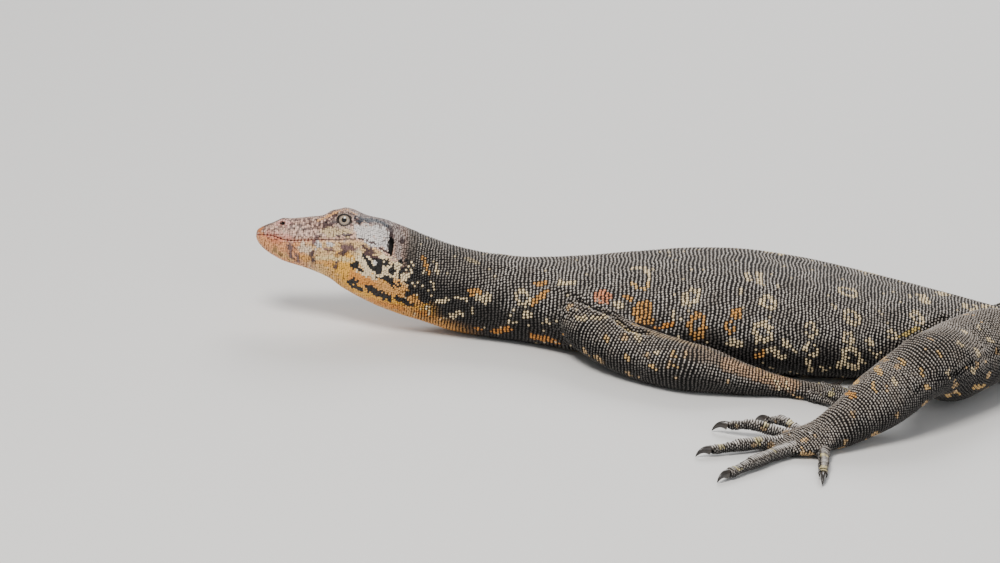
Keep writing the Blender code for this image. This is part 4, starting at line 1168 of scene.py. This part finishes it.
def folded(places, normals, folds):
    """Points let in along the folds by bells of the distance, with a low welt on each side."""
    at = to_section(places)
    at[:, 1] = np.abs(at[:, 1])
    depth, welt = np.zeros(len(places)), np.zeros(len(places))
    for points, rows, ends in ((at, FOLDS, folds[0]), (places, NEAR_FOLDS, folds[1])):
        for (_, _, _, _, width, amount), (start, end) in zip(rows, ends):
            distance = from_stroke(points, start, end)
            depth = np.maximum(depth, amount * bell(distance, width))
            welt = np.maximum(welt, 0.35 * amount * bell(distance - 2.2 * width, width))
    moved = places + normals * (welt - 1.2 * depth)[:, None]
    moved[:, 2] = np.maximum(moved[:, 2], COAT)
    return moved


def paint(points, colours, strokes, ends, seed):
    """Paints strokes in their order: each has two ends, a radius, softness and colour, and may be hollow."""
    on_head = ease(points[:, 0], -215, -235)
    wander = (0.17 + 0.22 * on_head) * (ripple(points, 4.5, seed) + 0.8 * ripple(points, 2.2, seed + 1))
    for row, (start, end) in zip(strokes, ends):
        radius, colour, soft, hollow = row[4:] + USUAL_STROKE[len(row) - 6:]
        distance = from_stroke(points, start, end) + min(radius, 3.2) * wander
        share = 1 - ease(distance, radius - soft, radius + soft)
        if soft < CRISP:
            share = np.round(share)
        if hollow:
            share *= np.round(ease(distance, radius * 0.36, radius * 0.50))
        colours = blend(colours, colour, share)
    return colours


def speckle(colours, random, chance, colour, strength):
    """A share of the scales takes another colour."""
    hit = random.random(len(colours)) < chance
    return blend(colours, colour, hit * strength * random.uniform(0.6, 1.0, len(colours)))


def head_ground(colours, places, station, over, on_head, random):
    """Ground of the head by height over the mouth: greyer and specked above, yellow on jaw and throat."""
    fine = ripple(places, 3.0, 41) + 0.7 * ripple(places, 1.7, 42)
    crown = ease(station, -286, -262) * ease(over, 8, 14)
    dashes = np.sin(station * 2 * math.pi / 3.1 + 1.4 * ripple(places, 6.0, 43))
    dashed = ease(over, 6.0, 9.0) * ease(dashes + 0.5 * fine, 0.15, 0.6)
    jaw = on_head * ease(over, 0.5, -2.5)
    throat = ease(station, -300, -270) * ease(over, -9, -16) * ease(station, -205, -225)
    under = ease(station, -285, -262) * ease(over, -16, -24) * ease(station, -176, -205)
    snout = on_head * ease(station, -272, -284) * ease(over, 0.5, 2.5)
    colours = layered(
        colours, (PINK_TAN, on_head), (PINK_GREY * 0.7, on_head * crown),
        (SPECK, 0.75 * on_head * crown * ease(fine, 0.1, 0.5)), (SPECK, 0.85 * on_head * dashed),
        (JAW_PINK, jaw), (JAW_CREAM, jaw * ease(station, -308, -292)), (THROAT, throat), (AMBER, under),
        (SPECK, 0.5 * snout * ease(fine, 0.0, 0.6)),
    )
    colours = speckle(colours, random, 0.28 * snout, SPECK * 0.8, 0.85)
    colours = speckle(colours, random, 0.06 * on_head, PALE_TAN, 0.5)
    return blend(colours, JAW_BROWN, 0.5 * jaw * ease(fine, 0.25, 0.7) * ease(station, -262, -285))


def marbled(colours, places, station, above, wander):
    """Black and cream marbling behind the jaw, where two ripples together pass a level."""
    behind = bell(station + 2.5 * wander + 229, 20.0) * bell(above + 4, 15.0)
    veins = ripple(places, 5.2, 51) + 0.6 * ripple(places, 2.6, 52)
    colours = blend(colours, BLACK, np.round(behind * ease(veins, 0.05, 0.25)))
    pale = np.round(behind * ease(veins, -0.30, -0.60))
    cream = mixed(CREAM, AMBER, ease(above, -4, -12)[:, None])
    return blend(colours, cream, pale * ease(station, -206, -216))


def trunk_colours(places, strokes_at, random):
    """Markings of head, neck, torso and tail, by section coordinates that both sides share."""
    at = to_section(places)
    station, above = at[:, 0], at[:, 2]
    far = ease(at[:, 1], -2.0, 2.0)
    at[:, 0] = station - FAR_SHIFT * far * ease(station, -190, -120)
    at[:, 1] = np.abs(at[:, 1])
    wander = ripple(places, 26.0, 3)
    colours = layered(
        np.repeat(CHARCOAL[None], len(places), axis=0),
        (BROWN_GREY, ease(above + 4 * wander, -4, 24) * 0.9), (BLACK, ease(above, 2, -16) * 0.8),
    )
    on_head = ease(station + 2 * wander, -232, -244)
    colours = head_ground(colours, places, station, above - smooth(MOUTH, station)[:, 0], on_head, random)
    colours = paint(at, colours, STROKES, strokes_at, 11)
    colours = marbled(colours, places, station, above, wander)
    body = ease(station, -236, -222)
    low = ease(above, 8, -4)
    colours = speckle(colours, random, (0.012 + 0.022 * low) * body * (station < 175), CREAM, 0.85)
    colours = tail_bands(colours, at, station, random)
    belly = ease(above + smooth(BODY, station)[:, 0], 3.5, 1.2) * ease(station, -140, -110)
    bars = ease(np.sin(station * 2 * math.pi / 21 + 0.8 * wander), -0.1, 0.4)
    return blend(colours, BELLY_TAN * (1 - 0.75 * bars[:, None]), belly)


def tail_bands(colours, at, station, random):
    """Bands of pale spots across the tail, a fixed length apart, closing up towards its tip."""
    step = station - TAIL_CUT
    number = np.round(step / BAND_STEP)
    offset = step - number * BAND_STEP
    turn = np.arctan2(at[:, 2], at[:, 1])
    wave = np.sin(4 * turn + 1.7 * number) + 0.5 * np.sin(7 * turn + number * 2.3)
    half = BAND_STEP * (0.17 + 0.05 * wave)
    pale = ease(np.abs(offset + 1.2 * np.sin(3 * turn + number)), half + 0.8, half - 0.8)
    hollow = ease(np.abs(offset), 1.9, 0.9) * ease(wave, -0.2, 0.6) * ease(station, 520, 420)
    where = ease(station, 168, 182)
    colours = blend(colours, BLACK, 0.6 * where)
    gaps = ease(wave, -1.1, -0.7)
    share = where * pale * (1 - hollow) * np.maximum(gaps, ease(station, 480, 620))
    colours = blend(colours, mixed(CREAM, AMBER, 0.35) * 0.85, share)
    return speckle(colours, random, 0.03 * where, CREAM, 0.7)


def mixed(first, second, share):
    """A colour between two."""
    return first + share * (second - first)


def limb_colours(limb, scales, tree, random):
    """Markings of a limb: dark, browner on top, with seeded yellow specks and pale tops at the knuckles."""
    places = scales["place"]
    wander = ripple(places, 14.0, 5)
    top = ease(scales["normal"][:, 2] + 0.2 * wander, -0.1, 0.8)
    colours = blend(np.repeat(CHARCOAL[None], len(places), axis=0), LIMB_BROWN, 0.8 * top)
    if limb["name"] != "leg_right":
        strokes = ARM_STROKES if limb["end"] == "hand" else LEG_STROKES
        mirrored = places * (1.0, -limb["side"], 1.0)
        colours = paint(mirrored, colours, strokes, stroke_ends(strokes, tree), 13)
    spots = places[random.random(len(places)) < 0.012]
    size = random.uniform(0.9, 2.6, len(spots))
    for place, radius in zip(spots, size):
        share = 1 - ease(np.linalg.norm(places - place, axis=1), radius - 0.3, radius + 0.5)
        colours = blend(colours, mixed(CREAM, AMBER, 0.5), share * 0.9)
    on_digit = scales["root"][:, 0] > 1.0 / (len(limb["digits"]) + 1)
    along = (scales["root"][:, 0] * (len(limb["digits"]) + 1)) % 1.0
    knuckle = bell((along * KNUCKLES) % 1.0 - 0.5, 0.17) * ease(along, 0.12, 0.3)
    pale = knuckle * top * ease(wander + random.uniform(-0.4, 0.4, len(places)), -0.9, 0.3)
    bright = on_digit * np.round(pale) * random.uniform(0.4, 1.0, len(places))
    return layered(colours, (BLACK, on_digit * 0.6), (KNUCKLE_PALE, bright))


def stroke_ends(strokes, tree):
    """Both ends of each stroke or fold on the skin, from their pixels."""
    return [(seen_point(tree, row[0], row[1]), seen_point(tree, row[2], row[3])) for row in strokes]


def scale_shape():
    """Corners of one scale in half lengths, half widths and heights: sunk base, shoulder, short ridge."""
    turn = np.arange(6) * math.pi / 3
    base = np.column_stack((np.cos(turn), 1.06 * np.sin(turn), np.full(6, -0.9)))
    shoulder = np.column_stack((0.03 + 0.76 * np.cos(turn), 0.84 * np.sin(turn), np.full(6, 0.70)))
    return np.vstack((base, shoulder, (0.08, -0.48, 1.0), (0.08, 0.48, 1.0)))


def scale_faces():
    """Faces of one scale: its base, six sides and six facets up to the ridge, all facing out."""
    ring = range(6)
    faces = [tuple(reversed(ring))]
    faces += [(side, (side + 1) % 6, 6 + (side + 1) % 6, 6 + side) for side in ring]
    left, right = 12, 13
    return faces + [
        (6, 7, right), (7, 8, right), (8, 9, left, right),
        (9, 10, left), (10, 11, left), (11, 6, right, left),
    ]


def scale_points(scales, shape, random):
    """Corners of the scales: the shape at each one's sizes, bent across, with its shoulder spread."""
    normal = scales["normal"]
    ahead = unit(scales["ahead"] - normal * (scales["ahead"] * normal).sum(axis=1, keepdims=True))
    aside = np.cross(normal, ahead)
    vary = random.uniform(0.90, 1.08, (len(normal), 3))
    height = scales["height"] * np.minimum(scales["length"], scales["width"]) * vary[:, 2]
    sizes = np.stack((scales["length"] * vary[:, 0], scales["width"] * vary[:, 1], height), axis=1)
    local = shape[None] * sizes[:, None]
    local[:, :6, 2] = -SCALE_ROOT
    local[:, :, 2] -= scales["curve"][:, None] * local[:, :, 1] ** 2
    local[:, 6:12, :2] *= scales["spread"][:, None, None]
    points = (
        scales["place"][:, None] + local[:, :, :1] * ahead[:, None] + local[:, :, 1:2] * aside[:, None]
        + local[:, :, 2:] * normal[:, None]
    ).reshape(-1, 3)
    points[:, 2] = np.maximum(points[:, 2], FLOOR_CLEAR)
    return points


def repeated_mesh(name, points, size, faces):
    """Smooth mesh of one shape many times over, each of the same size in points and with the same faces."""
    first = np.arange(0, len(points), size)[:, None]
    corners = np.concatenate([np.array(face) + first for face in faces], axis=1).ravel()
    lengths = np.tile([len(face) for face in faces], len(first))
    mesh = bpy.data.meshes.new(name)
    mesh.vertices.add(len(points))
    mesh.vertices.foreach_set("co", (points * MM).astype(np.float32).ravel())
    mesh.loops.add(len(corners))
    mesh.loops.foreach_set("vertex_index", corners.astype(np.int32))
    mesh.polygons.add(len(lengths))
    mesh.polygons.foreach_set("loop_start", np.concatenate(([0], np.cumsum(lengths)[:-1])).astype(np.int32))
    mesh.update(calc_edges=True)
    mesh.validate()
    mesh.shade_smooth()
    return mesh


def sharpen_rims(mesh, size, plates):
    """Marks the shoulder rims of the scales that are flat plates as sharp edges."""
    pairs = edge_pairs(mesh)
    on_rim = ((pairs % size > 5) & (pairs % size < 12)).all(axis=1)
    mesh.edges.foreach_set("use_edge_sharp", on_rim & plates[pairs[:, 0] // size])


def corner_colours(scales, colours, plates, random):
    """Colours of the scales' corners: each scale has its own shade; pale scales get a painted highlight on
    the ridge, dark ones dust and painted sheen.
    """
    count = len(colours)
    shade = colours * (1 + np.where(plates, 0.11, 0.22) * random.uniform(-1.1, 0.9, count))[:, None]
    dust = scales["dust"] * random.uniform(0.55, 1.2, count)
    pale = ease(colours[:, 1], 0.10, 0.25)
    # Painted highlight on the ridges of pale scales; dust and painted sheen on those of dark ones
    gleam = 0.30 * pale * scales["height"] / SCALE_RISE
    ridge = blend(shade * (1 + gleam[:, None]), DUST_AND_SHEEN, dust * (1 - pale))
    corners = np.repeat(shade[:, None], len(RISE), axis=1)
    corners[:, RISE == 1.0] = ridge[:, None]
    return corners.reshape(-1, 3)


def scale_piece(name, scales, colours, slot, material, random):
    """One mesh of many scales, each the same shape with its own sizes, frame and shade."""
    shape, plates = scale_shape(), scales["height"] < PLATE_HEIGHT
    mesh = repeated_mesh(name, scale_points(scales, shape, random), len(shape), scale_faces())
    sharpen_rims(mesh, len(shape), plates)
    write_markings(mesh, corner_colours(scales, colours, plates, random), np.tile(RISE, len(plates)))
    root = np.clip(scales["root"], 0.004, 0.996)
    write_uv(mesh, "OFBake", (root[:, None] + PATCH / 2 * shape[None, :, :2]).reshape(-1, 2))
    return finished(linked(name, mesh), material, slot)


def write_markings(mesh, colours, rise):
    """Colour and rise of each vertex, by which the material lays painted shade: rise is 0 deep between scales
    and 1 on their tops and on bare skin.
    """
    layer = mesh.attributes.new("markings", "FLOAT_COLOR", "POINT")
    opaque = np.column_stack((colours, np.ones(len(colours)))).astype(np.float32)
    layer.data.foreach_set("color", opaque.ravel())
    layer = mesh.attributes.new("rise", "FLOAT", "POINT")
    layer.data.foreach_set("value", np.asarray(rise, np.float32))


def finished(piece, material, slot, *nodes):
    """Gives a piece its material and body, and hides the nodes that it stands for; the slot is not used."""
    piece.data.materials.append(material)
    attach(piece, "root")
    if nodes:
        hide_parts(*nodes)
    return piece


class Value:
    """A socket of a node tree. Python's operators on it add Math nodes."""

    def __init__(self, graph, socket):
        self.graph, self.socket = graph, socket

    def join(self, kind, first, second):
        """A Math node of a kind on two values."""
        return self.graph.add("ShaderNodeMath", {"operation": kind}, {0: first, 1: second})

    def __add__(self, other):
        return self.join("ADD", self, other)

    def __radd__(self, other):
        return self.join("ADD", other, self)

    def __mul__(self, other):
        return self.join("MULTIPLY", self, other)

    def __rmul__(self, other):
        return self.join("MULTIPLY", other, self)


class Graph:
    """Nodes of one material round its Principled shader."""

    def __init__(self, name, **constants):
        self.material = bpy.data.materials.new(name)
        self.material.use_nodes = True
        self.tree = self.material.node_tree
        self.shader = self.tree.nodes["Principled BSDF"]
        for key, value in constants.items():
            self.shader.inputs[key.replace("_", " ").title().replace("Ior", "IOR")].default_value = value

    def plug(self, socket, value):
        """Links a value to a socket, or sets the socket to a number or colour."""
        if isinstance(value, Value):
            self.tree.links.new(value.socket, socket)
        else:
            socket.default_value = value

    def add(self, kind, settings, sockets, output=0):
        """A node of a kind, with its settings first and then its sockets, and one of its outputs."""
        node = self.tree.nodes.new(kind)
        for key, value in settings.items():
            if key == "stops":
                set_stops(node.color_ramp.elements, value)
            else:
                setattr(node, key, value)
        for key, value in sockets.items():
            self.plug(node.inputs[key], value)
        return Value(self, node.outputs[output])

    def attribute(self, name, output):
        """A named attribute of the mesh."""
        return self.add("ShaderNodeAttribute", {"attribute_name": name}, {}, output)

    def noise(self, scale, detail, vector=None):
        """Noise about 0.5, on the piece's own coordinates where no vector is given."""
        vector = vector or self.add("ShaderNodeTexCoord", {}, {}, "Object")
        return self.add("ShaderNodeTexNoise", {}, {"Vector": vector, "Scale": scale, "Detail": detail}, "Fac")

    def stretched(self, vector, scale):
        """A vector at its own scale along each axis."""
        return self.add("ShaderNodeMapping", {}, {"Vector": vector, "Scale": scale})

    def flat_place(self, name, axis):
        """Place on a flat map of the mesh, and one of its coordinates."""
        place = self.add("ShaderNodeUVMap", {"uv_map": name}, {})
        return place, self.add("ShaderNodeSeparateXYZ", {}, {0: place}, axis)

    def mix(self, share, first, second, kind="MIX"):
        """Colour between two colours, or their product."""
        settings = {"data_type": "RGBA", "blend_type": kind, "clamp_factor": True}
        return self.add("ShaderNodeMix", settings, {0: share, 6: first, 7: second}, 2)

    def finish(self, colour, roughness):
        """Sets what varies over the surface, and gives the material."""
        self.plug(self.shader.inputs["Base Color"], colour)
        self.plug(self.shader.inputs["Roughness"], roughness)
        return self.material

    def bump(self, height, strength, distance):
        """Small relief of the surface by a height."""
        sockets = {"Height": height, "Strength": strength, "Distance": distance}
        self.plug(self.shader.inputs["Normal"], self.add("ShaderNodeBump", {}, sockets))


def set_stops(elements, stops):
    """Sets a colour ramp's stops from (place, colour)."""
    while len(elements) < len(stops):
        elements.new(1.0)
    for element, (place, colour) in zip(elements, stops):
        element.position = place
        element.color = (*colour, 1.0)


def scale_material(name, low, roughness, gloss):
    """Keratin: the markings with painted shade, darker the lower the rise between scales, with fine mottling
    and a grained gloss.
    """
    graph = Graph(name, specular_ior_level=gloss)
    mottle = graph.noise(900.0, 3.0)
    # Painted shade: the colour is darkened where the rise is low, deep between the scales
    shade = ((1.0 - low) * graph.attribute("rise", "Fac") + low) * (0.84 + 0.32 * mottle)
    grey = graph.mix(shade, (0.0, 0.0, 0.0, 1.0), (1.0, 1.0, 1.0, 1.0))
    graph.bump(graph.noise(2600.0, 2.0), 0.35, 0.0002)
    colour = graph.mix(1.0, graph.attribute("markings", "Color"), grey, "MULTIPLY")
    return graph.finish(colour, 0.16 * mottle + roughness)


def claw_material():
    """Dark horn, browner at its root, with fine lengthwise streaks."""
    graph = Graph("claw", ior=1.54, coat_weight=0.3, coat_roughness=0.15)
    place, along = graph.flat_place("claw", "X")
    streaks = graph.noise(9.0, 3.0, graph.stretched(place, (0.6, 4.0, 1.0)))
    stops = ((0.0, tone(52, 44, 37)), (0.3, tone(28, 23, 20)), (1.0, tone(14, 12, 11)))
    horn = graph.add("ShaderNodeValToRGB", {"stops": stops}, {0: along})
    graph.bump(streaks, 0.25, 0.0003)
    return graph.finish(graph.mix(0.3 * streaks, horn, (*tone(78, 66, 54), 1.0)), 0.22 + 0.2 * streaks)


def eye_material():
    """Wet eyeball: black pupil, pale iris with fine rays, and a dark ring where it runs under the lids."""
    graph = Graph("eye", ior=1.38, coat_weight=1.0, coat_roughness=0.03)
    place, angle = graph.flat_place("eye", "Y")
    rays = graph.noise(1.6, 3.0, graph.stretched(place, (60.0, 5.0, 1.0)))
    iris = graph.mix(rays, (*tone(104, 88, 78), 1.0), (*tone(214, 200, 186), 1.0))
    rings = graph.add("ShaderNodeValToRGB", {"stops": EYE_RINGS}, {0: angle})
    return graph.finish(graph.mix(1.0, iris, rings, "MULTIPLY"), 0.10 + 0.05 * rays)


def make_eye(name, side, material):
    """Eyeball as a sphere by turn round the line of sight and angle from it."""
    centre, axes = eye_axes(side)
    turn = np.arange(EYE_TURNS) * 2 * math.pi / EYE_TURNS
    polar = np.linspace(0, math.pi, EYE_ANGLES + 1)[1:-1, None]
    flat = np.sin(polar) * EYE_RADIUS
    depth = np.cos(polar) * EYE_RADIUS + 0 * turn
    local = np.stack((flat * np.cos(turn), flat * np.sin(turn), depth), axis=2)
    points, faces = closed_tube(local, ((0, 0, EYE_RADIUS), (0, 0, -EYE_RADIUS)))
    eye = new_object("eyeball_" + name, points @ axes + centre, faces)
    outwards(eye.data)
    at = (coordinates(eye.data) - centre) @ axes.T
    angle = np.arccos(np.clip(at[:, 2] / EYE_RADIUS, -1, 1)) / math.pi
    around = np.abs(np.arctan2(at[:, 1], at[:, 0])) / math.pi
    write_uv(eye.data, "eye", np.stack((around, angle), axis=1))
    return finished(eye, material, "eye", "eye_" + name)


def make_lids(name, side, material):
    """Rim of both lids: a soft tube round the ellipse of the opening, on the eyeball, thicker above."""
    centre, axes = eye_axes(side)
    turn = np.arange(LID_STEPS)[:, None] * 2 * math.pi / LID_STEPS
    round_tube = np.arange(LID_SIDES)[None, :] * 2 * math.pi / LID_SIDES
    upper = ease(np.cos(turn), -0.3, 0.9)
    ellipse = (EYE_OPENING[0] * LID_GROW * np.cos(turn), EYE_OPENING[1] * LID_GROW * np.sin(turn))
    flat = np.concatenate(ellipse, axis=1)
    ball = EYE_RADIUS + 0.42 + 0.12 * upper
    middle = np.hstack((flat, np.sqrt(ball ** 2 - (flat ** 2).sum(axis=1, keepdims=True))))
    normal = unit(middle)
    outward = np.cross(unit(np.roll(middle, -1, axis=0) - np.roll(middle, 1, axis=0)), normal)
    outward *= np.sign((outward[:, :2] * flat).sum(axis=1, keepdims=True))
    thick = 0.72 + 0.22 * upper
    across = 0.72 * thick * np.cos(round_tube)
    over = 0.62 * thick * np.sin(round_tube)
    local = middle[:, None] + across[:, :, None] * outward[:, None] + over[:, :, None] * normal[:, None]
    faces = tube_faces(LID_STEPS + 1, LID_SIDES) % (LID_STEPS * LID_SIDES)
    lids = new_object("lids_" + name, local.reshape(-1, 3) @ axes + centre, faces.tolist())
    outwards(lids.data)
    inner = ease(np.cos(round_tube), 0.9, 0.1) * np.ones_like(turn)
    colours = blend(np.repeat(LID_GREY[None], inner.size, axis=0), LID_DARK, inner.ravel())
    write_markings(lids.data, colours, np.ones(inner.size))
    return finished(lids, material, "head_skin")


def claw_rings(length, centre, tangent, radius, raised):
    """Rings of an oval tube along an arch that runs down to a point, or up on the hand that lies palm up."""
    part = np.linspace(0, 1, CLAW_STEPS)[:, None]
    forward = unit(np.array((tangent[0], tangent[1], 0.0)))
    start = centre + tangent * (GAP - CLAW_INSET)
    drop = -length * CLAW_RAISE if raised else start[2] - CLAW_TIP_HEIGHT
    lift = CLAW_LIFT * length * np.sin(math.pi * part)
    ahead = forward * length * (part * CLAW_REACH - CLAW_TUCK * part ** 3)
    size = ((radius * CLAW_FIT * 0.96) * (1 - 0.985 * part[:, 0]) ** CLAW_TAPER)[:, None]
    turn = np.arange(CLAW_SIDES) * 2 * math.pi / CLAW_SIDES
    over = size * np.sin(turn) * (1 + 0.12 * np.sin(turn))
    rings, _ = rings_round(
        start + ahead + UP * (lift - drop * part ** 2), size * CLAW_FLATNESS * np.cos(turn), over)
    rings[:, :, 2] = np.maximum(rings[:, :, 2], FLOOR_CLEAR)
    return rings


def make_claws(limb, material):
    """Claws of a limb, with their length and the turn round them as a flat map."""
    for name, *root in limb["claws"]:
        points, faces = closed_tube(claw_rings(CLAW_LENGTH[limb["end"]], *root))
        claw = new_object("horn_" + name[5:], points, faces)
        outwards(claw.data)
        turn = np.arange(CLAW_SIDES) * math.pi / CLAW_SIDES
        along, around = np.meshgrid(np.linspace(0, 1, CLAW_STEPS), np.abs(np.sin(turn)), indexing="ij")
        places = np.stack((along.ravel(), around.ravel()), axis=1)
        write_uv(claw.data, "claw", np.vstack((places, (0, 0.5), (1, 0.5))))
        finished(claw, material, "claw", name)


def skin_markings(points, colours):
    """Colour and rise of the skin: painted shade between the scales, in the mouth's groove, nostrils, ears
    and eye openings; bare on lips, nostrils and round the eyes.
    """
    at = to_section(points)
    station, from_mouth = at[:, 0], np.abs(at[:, 2] - smooth(MOUTH, at[:, 0])[:, 0])
    on_head, front = ease(station, -214, -236), ease(station, -280, -300)
    fade = ease(station, MOUTH_CORNER + 2, MOUTH_CORNER - 8)
    lips = fade * ease(from_mouth, 1.7, 0.9)
    # Low rise on the skin lays painted shade between the scales; lips keep more
    rise = np.maximum(0.10 + 0.10 * on_head, lips * 0.9)
    seam = fade * ease(from_mouth, 0.55, 0.15)
    # Near-black between the scales and dark along the mouth's seam: painted shade; the lips' pinks are their
    # own colour
    colours = layered(
        colours, (BLACK * 0.6, 0.9 - 0.6 * on_head), (LIP_PINK, lips * front),
        (PINK_GREY * 0.6, lips * (1 - front) * 0.8), (LIP_DARK, seam * (0.5 + 0.4 * front)),
    )
    for _, side in SIDES:
        nostril, ear = hole_share(points, NOSTRIL, side), hole_share(points, EAR, side)
        rim, spread = ease(nostril, 2.0, 1.4) * 0.9, eye_place(points, side)[1]
        rise = np.maximum(rise, rim)
        # The nostrils' rims are pink; painted shade blackens the nostrils, the ears and the skin inside the
        # eyes' openings
        colours = layered(
            colours, (NOSTRIL_PINK, rim),
            (BLACK * 0.5, np.maximum(ease(nostril, 1.25, 0.95), ease(ear, 1.3, 1.0))),
            (LID_GREY * 0.6, ease(spread, 1.8, 1.3) * 0.8), (BLACK * 0.5, ease(spread, 1.0, 0.9)),
        )
    return colours, rise


def make_skin(mesh, scales, colours, material):
    """The skin takes the colour of the nearest scale, and stands for all nodes of flesh."""
    tree = place_tree(scales)
    points = coordinates(mesh)
    nearest = np.array([tree.find(place)[1] for place in points.tolist()])
    write_markings(mesh, *skin_markings(points, colours[nearest]))
    flesh = [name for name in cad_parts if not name.startswith(("eye_", "claw_"))]
    return finished(linked("skin", mesh), material, "body_skin", *flesh)


def skin_tree(mesh):
    """Tree of the skin's faces, in millimetres."""
    return BVHTree.FromPolygons(coordinates(mesh).tolist(), [tuple(face.vertices) for face in mesh.polygons])


def section_ends(strokes, tree):
    """Both ends of each stroke in section coordinates that both sides share."""
    return [tuple(to_section(np.array(pair)) * (1, -1, 1)) for pair in stroke_ends(strokes, tree)]


def fold_skin(skin, folds):
    """Lets the folds into the skin along its own normals."""
    normals = np.empty(len(skin.vertices) * 3)
    skin.vertices.foreach_get("normal", normals)
    set_coordinates(skin, folded(coordinates(skin), normals.reshape(-1, 3), folds))


def coat_scales(limbs, head, stations, folds, tree, random):
    """Scales of the head, the trunk and each limb, set on the skin and thinned where the parts meet."""
    on_head = head_scales(head, stations, random)
    crowd = [trunk_scales(random)] + [limb_scales(limb, random) for limb in limbs]
    for scales in [on_head] + crowd:
        scales["place"] = folded(scales["place"], scales["normal"], folds)
    crowd = [settled(scales, tree) for scales in crowd]
    together = joined(crowd)
    together["owner"] = np.repeat(np.arange(len(crowd)), [len(scales["place"]) for scales in crowd])
    together = thinned(together, BODY_THINNING)
    return on_head, *(chosen(together, together["owner"] == index) for index in range(len(crowd)))


def coat_parts(limbs, on_head, trunk, on_limbs, tree, random):
    """Pieces of the coat as their name, scales, colours and slot."""
    ends = section_ends(STROKES, tree)
    parts = [("head", on_head, trunk_colours(on_head["place"], ends, random), "head_skin")]
    colours = trunk_colours(trunk["place"], ends, random)
    station = to_section(trunk["place"])[:, 0]
    for name, start, end in TRUNK_PIECES:
        inside = (station >= start) & (station < end)
        parts.append((name, chosen(trunk, inside), colours[inside], "body_skin"))
    for limb, scales in zip(limbs, on_limbs):
        colours = limb_colours(limb, scales, tree, random)
        tile = scales["root"][:, 0] * (len(limb["digits"]) + 1)
        for name, inside in ((limb["name"], tile < 1), (limb["end"] + limb["name"][3:], tile >= 1)):
            parts.append((name, chosen(scales, inside), colours[inside], "limb_skin"))
    return parts


def make_animal():
    """Skin, coat, eyes, lids and claws."""
    random = np.random.default_rng(SEED)
    limbs = limb_parts()
    head, stations = head_surface()
    skin = make_skin_mesh(limbs, head)
    tree = skin_tree(skin)
    folds = (section_ends(FOLDS, tree), stroke_ends(NEAR_FOLDS, tree))
    fold_skin(skin, folds)
    tree = skin_tree(skin)
    materials = {slot: scale_material(*look) for slot, look in LOOKS.items()}
    on_head, trunk, *on_limbs = coat_scales(limbs, head, stations, folds, tree, random)
    parts = coat_parts(limbs, on_head, trunk, on_limbs, tree, random)
    for name, scales, colours, slot in parts:
        scale_piece("scales_" + name, scales, colours, slot, materials[slot], random)
    places = np.concatenate([part[1]["place"] for part in parts])
    make_skin(skin, places, np.concatenate([part[2] for part in parts]), materials["bare"])
    wet, horn = eye_material(), claw_material()
    for name, side in SIDES:
        make_eye(name, side, wet)
        make_lids(name, side, materials["head_skin"])
    for limb in limbs:
        make_claws(limb, horn)


def make_camera():
    """Camera on the line of sight through the middle of the view."""
    right, up, back = (Vector(axis) for axis in view_axes())
    camera = linked("camera", bpy.data.cameras.new("camera"))
    camera.data.sensor_width = SENSOR
    camera.data.lens = SENSOR * VIEW_DISTANCE / VIEW_WIDTH
    camera.data.clip_end = 100.0
    place = Matrix((right, up, back)).transposed().to_4x4()
    place.translation = VIEW_CENTRE + back * VIEW_DISTANCE
    camera.matrix_world = place
    bpy.context.scene.camera = camera


def make_light(name, place, size, power, colour):
    """Square soft light that faces the animal's middle."""
    light = bpy.data.lights.new(name, "AREA")
    light.size, light.energy, light.color = size, power, colour
    lamp = linked(name, light)
    lamp.location = place
    lamp.rotation_euler = (VIEW_CENTRE - Vector(place)).to_track_quat("-Z", "Y").to_euler()
    lamp.visible_camera = False


def make_studio():
    """Pale floor and world, one broad main light from the upper left front, a fill and a rim."""
    world = bpy.data.worlds.new("studio")
    world.use_nodes = True
    world.node_tree.nodes["Background"].inputs["Color"].default_value = WORLD_COLOUR
    world.node_tree.nodes["Background"].inputs["Strength"].default_value = WORLD_STRENGTH
    bpy.context.scene.world = world
    for light in LIGHTS:
        make_light(*light)
    mesh = bpy.data.meshes.new("floor")
    corners = [(x * FLOOR_REACH, y * FLOOR_REACH, 0) for x, y in ((-1, -1), (1, -1), (1, 1), (-1, 1))]
    mesh.from_pydata(corners, [], [(0, 1, 2, 3)])
    mesh.materials.append(Graph("floor").finish(FLOOR_COLOUR, FLOOR_ROUGHNESS))
    linked("floor", mesh)


make_camera()
make_studio()
make_animal()
